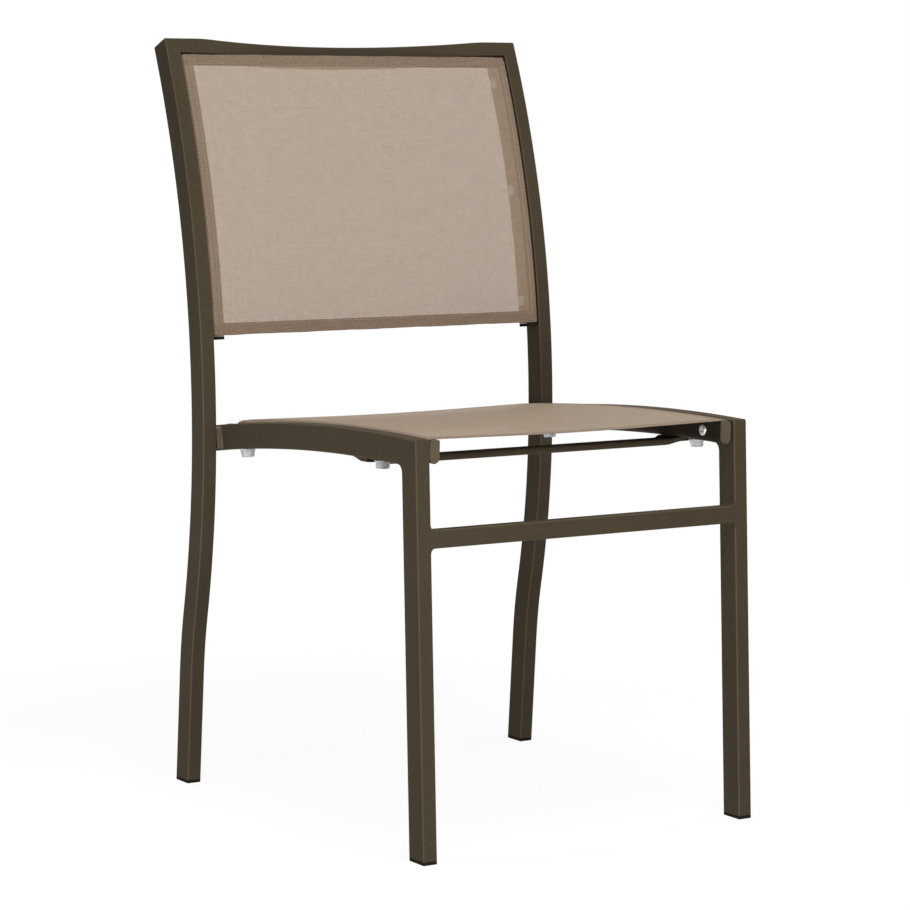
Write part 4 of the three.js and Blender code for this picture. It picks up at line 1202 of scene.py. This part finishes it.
def woven(name, hole, edges, shade):
    """Plain weave of coated yarns with open holes, from the cloth's own flat coordinates. Beyond
    the edges, across and along, the cloth is doubled and its colour is darkened there as painted shade."""
    n = Nodes(bpy.data.materials.new(name))
    place = n.place()
    x, y = n.chart()
    u, v = n.math("DIVIDE", x, YARN_PITCH), n.math("DIVIDE", y, 0.92 * YARN_PITCH)
    edge_x, edge_y = edges
    wrap_x = edge_x + RAIL_WIDTH
    across, along = n.math("ABSOLUTE", x), n.math("ABSOLUTE", y)
    far_across = n.ramp(across, edge_x, edge_x + BAND_EDGE, 0.0, 0.42)
    # Over the outer round of the rail the darkening eases off.
    wrap = n.ramp(across, wrap_x - RAIL_ROUND, wrap_x, 1.0, 0.3)
    far_along = n.ramp(along, edge_y, edge_y + BAND_EDGE, 0.0, 0.62)
    grit = n.noise(place, 420.0, 2.0, 0.7)
    doubled_and_shaded = n.math("MAXIMUM", n.times(far_across, wrap), far_along)
    doubled_and_shaded = n.times(doubled_and_shaded, n.spread(grit, 0.3, 1.65))
    half = (1 - hole) / 2
    over = n.times(n.math("SINE", n.times(u, math.pi)), n.math("SINE", n.times(v, math.pi)))

    def yarns(spot, bow):
        """Where one set of yarns covers the cloth, and how high it lies."""
        away = n.math("ABSOLUTE", n.math("SUBTRACT", n.math("FRACT", spot), 0.5))
        share = n.math("DIVIDE", away, half)
        rest = n.math("MAXIMUM", n.math("SUBTRACT", 1.0, n.times(share, share)), 0.0)
        height = n.times(n.math("SQRT", rest), n.math("MULTIPLY_ADD", over, bow, 1.0))
        return n.ramp(away, half - YARN_EDGE, half + YARN_EDGE, 1.0, 0.0), height

    def yarn_tone(spot, seed):
        made = n.node("ShaderNodeTexWhiteNoise")
        made.noise_dimensions = "1D"
        n.set(made.inputs["W"], n.math("ADD", n.math("FLOOR", spot), seed))
        return made.outputs["Value"]

    def slub(across, along, seed):
        """A yarn's slow change of tone along its length."""
        across, along = n.math("DIVIDE", across, SLUB_WIDTH), n.math("DIVIDE", along, SLUB_LENGTH)
        where = n.node("ShaderNodeCombineXYZ", X=across, Y=along, Z=seed)
        return n.noise(where.outputs[0], 1.0, 1.0)

    on_warp, warp_height = yarns(u, YARN_BOW)
    on_weft, weft_height = yarns(v, -YARN_BOW)
    height = n.math("MAXIMUM", warp_height, weft_height)
    is_warp = n.math("GREATER_THAN", warp_height, weft_height)
    slubs = n.mix(is_warp, slub(y, x, 3.0), slub(x, y, 8.0))
    tone = n.mix(is_warp, yarn_tone(v, 0.37), yarn_tone(u, 11.31))
    tone = n.math("MULTIPLY_ADD", tone, 0.3, n.spread(slubs, 0.0, 0.7))
    colour = n.mix(tone, toned(srgb(142, 122, 99), shade), toned(srgb(175, 152, 127), shade))
    patches = n.spread(n.noise(place, 14.0, 3.0), 0.0, 0.14)
    colour = n.mix(patches, colour, srgb(160, 135, 112))
    colour = n.mix(n.spread(grit, 0.0, 0.35), colour, srgb(186, 164, 138))
    # Painted shade: the low places between the yarns are darkened.
    colour = n.mix(n.ramp(height, 0.1, 0.9, 0.35, 0.0), colour, srgb(112, 93, 76))
    # Painted shade: where the cloth is doubled its colour is darkened toward this brown, standing in for
    # the light that the doubled cloth and the rail behind it hold back.
    colour = n.mix(doubled_and_shaded, colour, srgb(128, 106, 88))
    return n.finish(Base_Color=colour, Alpha=n.math("MAXIMUM", on_warp, on_weft),
                    Normal=n.bump(height, 0.5, 0.25 * MM), Roughness=0.62, Sheen_Weight=0.08,
                    Specular_IOR_Level=0.35)


def cloudy(name, tones, cloud, gloss, grain, **sockets):
    """A finish with cloudy tones, an uneven gloss and a fine grain. The cloud's numbers are its
    scale, detail and low end, the gloss's are its scale and least and most roughness, and the
    grain's are its scale, roughness, strength and height."""
    n = Nodes(bpy.data.materials.new(name))
    place = n.place()
    scale, detail, low = cloud
    colour = n.mix(n.ramp(n.noise(place, scale, detail), low, 1 - low, 0.0, 1.0), *tones)
    scale, least, most = gloss
    roughness = n.spread(n.noise(place, scale), least, most)
    scale, harshness, strength, height = grain
    normal = n.bump(n.noise(place, scale, 2.0, harshness), strength, height)
    return n.finish(Base_Color=colour, Roughness=roughness, Normal=normal, **sockets)


def moulded(name, tone, roughness, shine=0.1):
    """Moulded plastic with a fine spark-eroded grain."""
    gloss = (700.0, roughness - 0.06, roughness + 0.06)
    return cloudy(name, (toned(tone, 0.82), tone), (60.0, 2.0, 0.3), gloss, (1900.0, 0.6, 0.1, 0.1 * MM),
                  Specular_IOR_Level=shine, Specular_Tint=(0.3, 0.28, 0.25, 1.0))


def sewn_thread(name):
    """Twisted sewing thread, a shade lighter than the cloth."""
    n = Nodes(bpy.data.materials.new(name))
    wave = n.node("ShaderNodeTexWave", Vector=n.place(), Scale=900.0, Distortion=1.5)
    twist = wave.outputs["Fac"]
    colour = n.mix(twist, srgb(168, 150, 127), srgb(193, 176, 152))
    return n.finish(Base_Color=colour, Roughness=0.55, Normal=n.bump(twist, 0.3, 0.1 * MM),
                    Sheen_Weight=0.1)


# A finish is a material and the slot that it stands for.
bronze = powder_coat("bronze_powder_coat", srgb(79, 70, 56), srgb(74, 65, 52), 0.6)
# The spacer's bronze is a lighter, glossier copy of the frame's: a painted highlight.
highlit_bronze = powder_coat("spacer_highlit_powder_coat", srgb(116, 102, 84), srgb(104, 91, 74), 0.4)
# The sling rails' bronze is darker than the frame's, partly their own tone and partly painted shade where
# they are seen through the cloth and under the seat.
dark_shaded_bronze = powder_coat("sling_rail_shaded_powder_coat", srgb(48, 42, 34), srgb(43, 37, 30), 0.62)
paint, spacer_paint, rail_paint = (bronze, "frame"), (highlit_bronze, "frame"), (dark_shaded_bronze, "sling_rail")
# The back and the seat are one cloth; the last number lightens or darkens its colours as painted light,
# for how the lamps fall on each.
back_mesh = woven("back_sling_mesh", 0.38, (back_sling.free, back_sling.length / 2 - HEM_LENGTH), 1.03)
seat_mesh = woven("seat_sling_mesh", 0.16, (seat_sling.free, seat_sling.length / 2 - HEM_LENGTH), 1.0)
thread = (sewn_thread("sewing_thread"), "sling_fabric")
cap_plastic = (moulded("cap_plastic", srgb(106, 94, 76), 0.5), "cap_plastic")
dark_plastic = (moulded("black_brown_plastic", srgb(46, 40, 33), 0.6, shine=0.01), "black_plastic")
rod_vinyl = (moulded("rod_vinyl", srgb(208, 204, 192), 0.45), "spline_rod")
# Bright zinc plate with fine turning marks and a faint blue-grey bloom
zinc_plate = cloudy("zinc_plate", (srgb(190, 192, 196), srgb(214, 212, 205)), (240.0, 2.0, 0.35),
                    (1200.0, 0.24, 0.4), (2600.0, 0.5, 0.12, 0.06 * MM), Metallic=1.0)
# Cloudy clear plastic that lets some light through
clear = cloudy("bumper_plastic", (srgb(214, 214, 218), srgb(234, 234, 236)), (160.0, 3.0, 0.3),
               (500.0, 0.2, 0.36), (420.0, 0.5, 0.05, 0.2 * MM), Transmission_Weight=0.35, IOR=1.46)
zinc, bumper_plastic = (zinc_plate, "zinc"), (clear, "bumper")


def pair(node, skin, finish):
    """The right piece at +X and its mirror image, each in place of its node."""
    skin.piece(f"{node}_right_form", [f"{node}_right"], finish)
    skin.mirrored().piece(f"{node}_left_form", [f"{node}_left"], finish)


# Frame
pair("upright", upright(), paint)
top_rail().piece("top_rail_form", ["top_rail"], paint)
pair("front_leg", front_leg(), paint)
pair("seat_rail", seat_rail(), paint)
pair("rail_spacer", rail_spacer(), spacer_paint)
front_stretcher().piece("front_stretcher_form", ["front_stretcher"], paint)
rear_cross_rail().piece("rear_cross_rail_form", ["rear_cross_rail"], paint)
spreader().piece("front_spreader_form", ["front_spreader"], paint)
pair("seat_rail_end_plug", end_plug(), dark_plastic)

# Sling rails, their rods and screws
for name, station_at, span, x, radius, angles in (
    ("back", back_station, back_range, BACK_SLING_RAIL_X, BACK_RADIUS, back_screw_leans),
    ("seat", seat_station, seat_range, SEAT_SLING_RAIL_X, SEAT_SLING_RADIUS, seat_screw_slopes),
):
    pair(f"{name}_sling_rail", sling_rail(station_at, span, x), rail_paint)
    pair(f"{name}_spline_rod", rod(station_at, span, x, ROD_INSET / radius), rod_vinyl)
    for number, angle in enumerate(angles, 1):
        pair(f"{name}_rail_screw_{number}", pan_screw(station_at, angle, x), zinc)
pair("spreader_screw", flat_screw(), zinc)

# Caps and plugs at the sling rails' ends
for name, outward, thickness in (("front", -1, FRONT_CAP), ("rear", 1, REAR_CAP)):
    angle = seat_range[outward > 0]
    skin = end_cap(seat_station, angle, SEAT_SLING_RAIL_X, outward, thickness)
    pair(f"seat_rail_cap_{name}", skin, cap_plastic)
for name, outward, thickness in (("bottom", -1, BOTTOM_PLUG), ("top", 1, TOP_PLUG)):
    angle = back_range[outward > 0]
    skin = end_cap(back_station, angle, BACK_SLING_RAIL_X, outward, thickness)
    pair(f"back_rail_plug_{name}", skin, dark_plastic)

# Bumpers and glides
for name, y, foot in (("front", bumper_ys[0], front_foot), ("rear", bumper_ys[1], rear_foot)):
    pair(f"stack_bumper_{name}", bumper(y), bumper_plastic)
    pair(f"foot_glide_{name}", glide(foot), dark_plastic)

# Slings
for name, sling, mesh, marks in (
    ("seat_sling", seat_sling, seat_mesh, SEAT_STITCH_MARKS),
    ("back_sling", back_sling, back_mesh, BACK_STITCH_MARKS),
):
    piece = sling.skin().piece(f"{name}_cloth", [name], (mesh, "sling_fabric"))
    sewing = sling.stitches(marks).piece(f"{name}_stitches", [name], thread)


# Floor, light and camera
FADE_START = 0.7
FADE_END = 2.2
FLOOR_GLOW = 1.32
WORLD_LEVEL = 0.09
MIDDLE_HEIGHT = 0.45
CAMERA_PLACE = (-2.018497, -3.154358, 0.841561)
CAMERA_YAW = math.radians(32.666)
CAMERA_PITCH = math.radians(-5.774)
CAMERA_ROLL = math.radians(0.408)
FOCAL_PIXELS = 3233.604
IMAGE_PIXELS = 910
SHIFT_PIXELS = -55
SENSOR = 36


def seen_directly(n):
    """1 for rays from the camera, from gloss and through clear pieces, else 0."""
    path = n.node("ShaderNodeLightPath")
    total = path.outputs["Is Camera Ray"]
    for name in ("Is Glossy Ray", "Is Transmission Ray"):
        total = n.math("MAXIMUM", total, path.outputs[name])
    return total


def make_floor():
    """A pale floor that turns into plain white light away from the chair."""
    bpy.ops.mesh.primitive_circle_add(vertices=96, radius=9.0, fill_type="NGON")
    floor = bpy.context.object
    floor.name = "floor"
    n = Nodes(bpy.data.materials.new("pale_floor"))
    n.finish(Base_Color=(0.3, 0.3, 0.3, 1), Roughness=0.9, Specular_IOR_Level=0.1)
    length = n.node("ShaderNodeVectorMath")
    length.operation = "LENGTH"
    n.set(length.inputs[0], n.place())
    distance = length.outputs["Value"]
    glow = n.node("ShaderNodeEmission", Strength=n.ramp(distance, FADE_START, FADE_END, FLOOR_GLOW, 1.0))
    share = n.times(seen_directly(n), n.ramp(distance, FADE_START, FADE_END, 0.7, 1.0))
    mixed = n.fill(n.node("ShaderNodeMixShader"), share, n.shader.outputs[0], glow.outputs[0])
    n.set(n.found("OUTPUT_MATERIAL").inputs["Surface"], mixed)
    floor.data.materials.append(n.owner)


def make_world():
    world = bpy.data.worlds.new("studio")
    bpy.context.scene.world = world
    n = Nodes(world)
    n.finish(Color=(1, 1, 1, 1), Strength=n.ramp(seen_directly(n), 0.0, 1.0, WORLD_LEVEL, 1.0))


def softbox(name, place, target_height, width, height, power):
    """An area light that faces a point over the chair's middle."""
    light = bpy.data.lights.new(name, "AREA")
    light.shape = "RECTANGLE"
    light.size, light.size_y, light.energy = width, height, power
    back = unit(np.array(place) - Z_AXIS * target_height)
    side = unit(np.cross(Z_AXIS, back))
    linked(name, light).matrix_world = placed(place, side, np.cross(back, side), back)


def placed(place, side, up, back):
    """The matrix of a thing at a place with these axes."""
    rotation = Matrix([side, up, back]).transposed().to_4x4()
    return Matrix.Translation(place) @ rotation


def make_camera():
    """The photograph's viewpoint, with a small lens shift."""
    data = bpy.data.cameras.new("camera")
    camera = linked("camera", data)
    toward = rotated(Y_AXIS, X_AXIS, CAMERA_PITCH)
    toward = rotated(toward, Z_AXIS, -CAMERA_YAW)
    right = rotated(X_AXIS, Z_AXIS, -CAMERA_YAW)
    side = rotated(right, toward, -CAMERA_ROLL)
    camera.matrix_world = placed(CAMERA_PLACE, side, np.cross(side, toward), -toward)
    data.sensor_width = SENSOR
    data.lens = FOCAL_PIXELS * SENSOR / IMAGE_PIXELS
    data.shift_y = SHIFT_PIXELS / IMAGE_PIXELS
    data.clip_end = 100
    bpy.context.scene.camera = camera


def around(azimuth, elevation, distance):
    """A place round the chair's middle; the azimuth goes from the front to the viewer's left."""
    a, e = math.radians(azimuth), math.radians(elevation)
    flat = distance * math.cos(e)
    return (-flat * math.sin(a), -flat * math.cos(a), MIDDLE_HEIGHT + distance * math.sin(e))


make_floor()
make_world()
softbox("key", around(10, 66, 3), 0.5, 1.3, 1.3, 54)
softbox("back", around(205, 50, 3), 0.5, 1.3, 1.3, 13)
softbox("right", around(-90, 8, 2.5), 0.45, 1.0, 1.0, 18)
softbox("front", around(8, -5, 1.6), 0.4, 0.4, 0.6, 9)
softbox("strip", around(50, -7, 1.9), 0.3, 0.18, 1.0, 6.2)
softbox("side", around(90, -14, 0.98), 0.22, 0.15, 0.7, 3)
make_camera()
bpy.context.scene.view_settings.view_transform = "Standard"
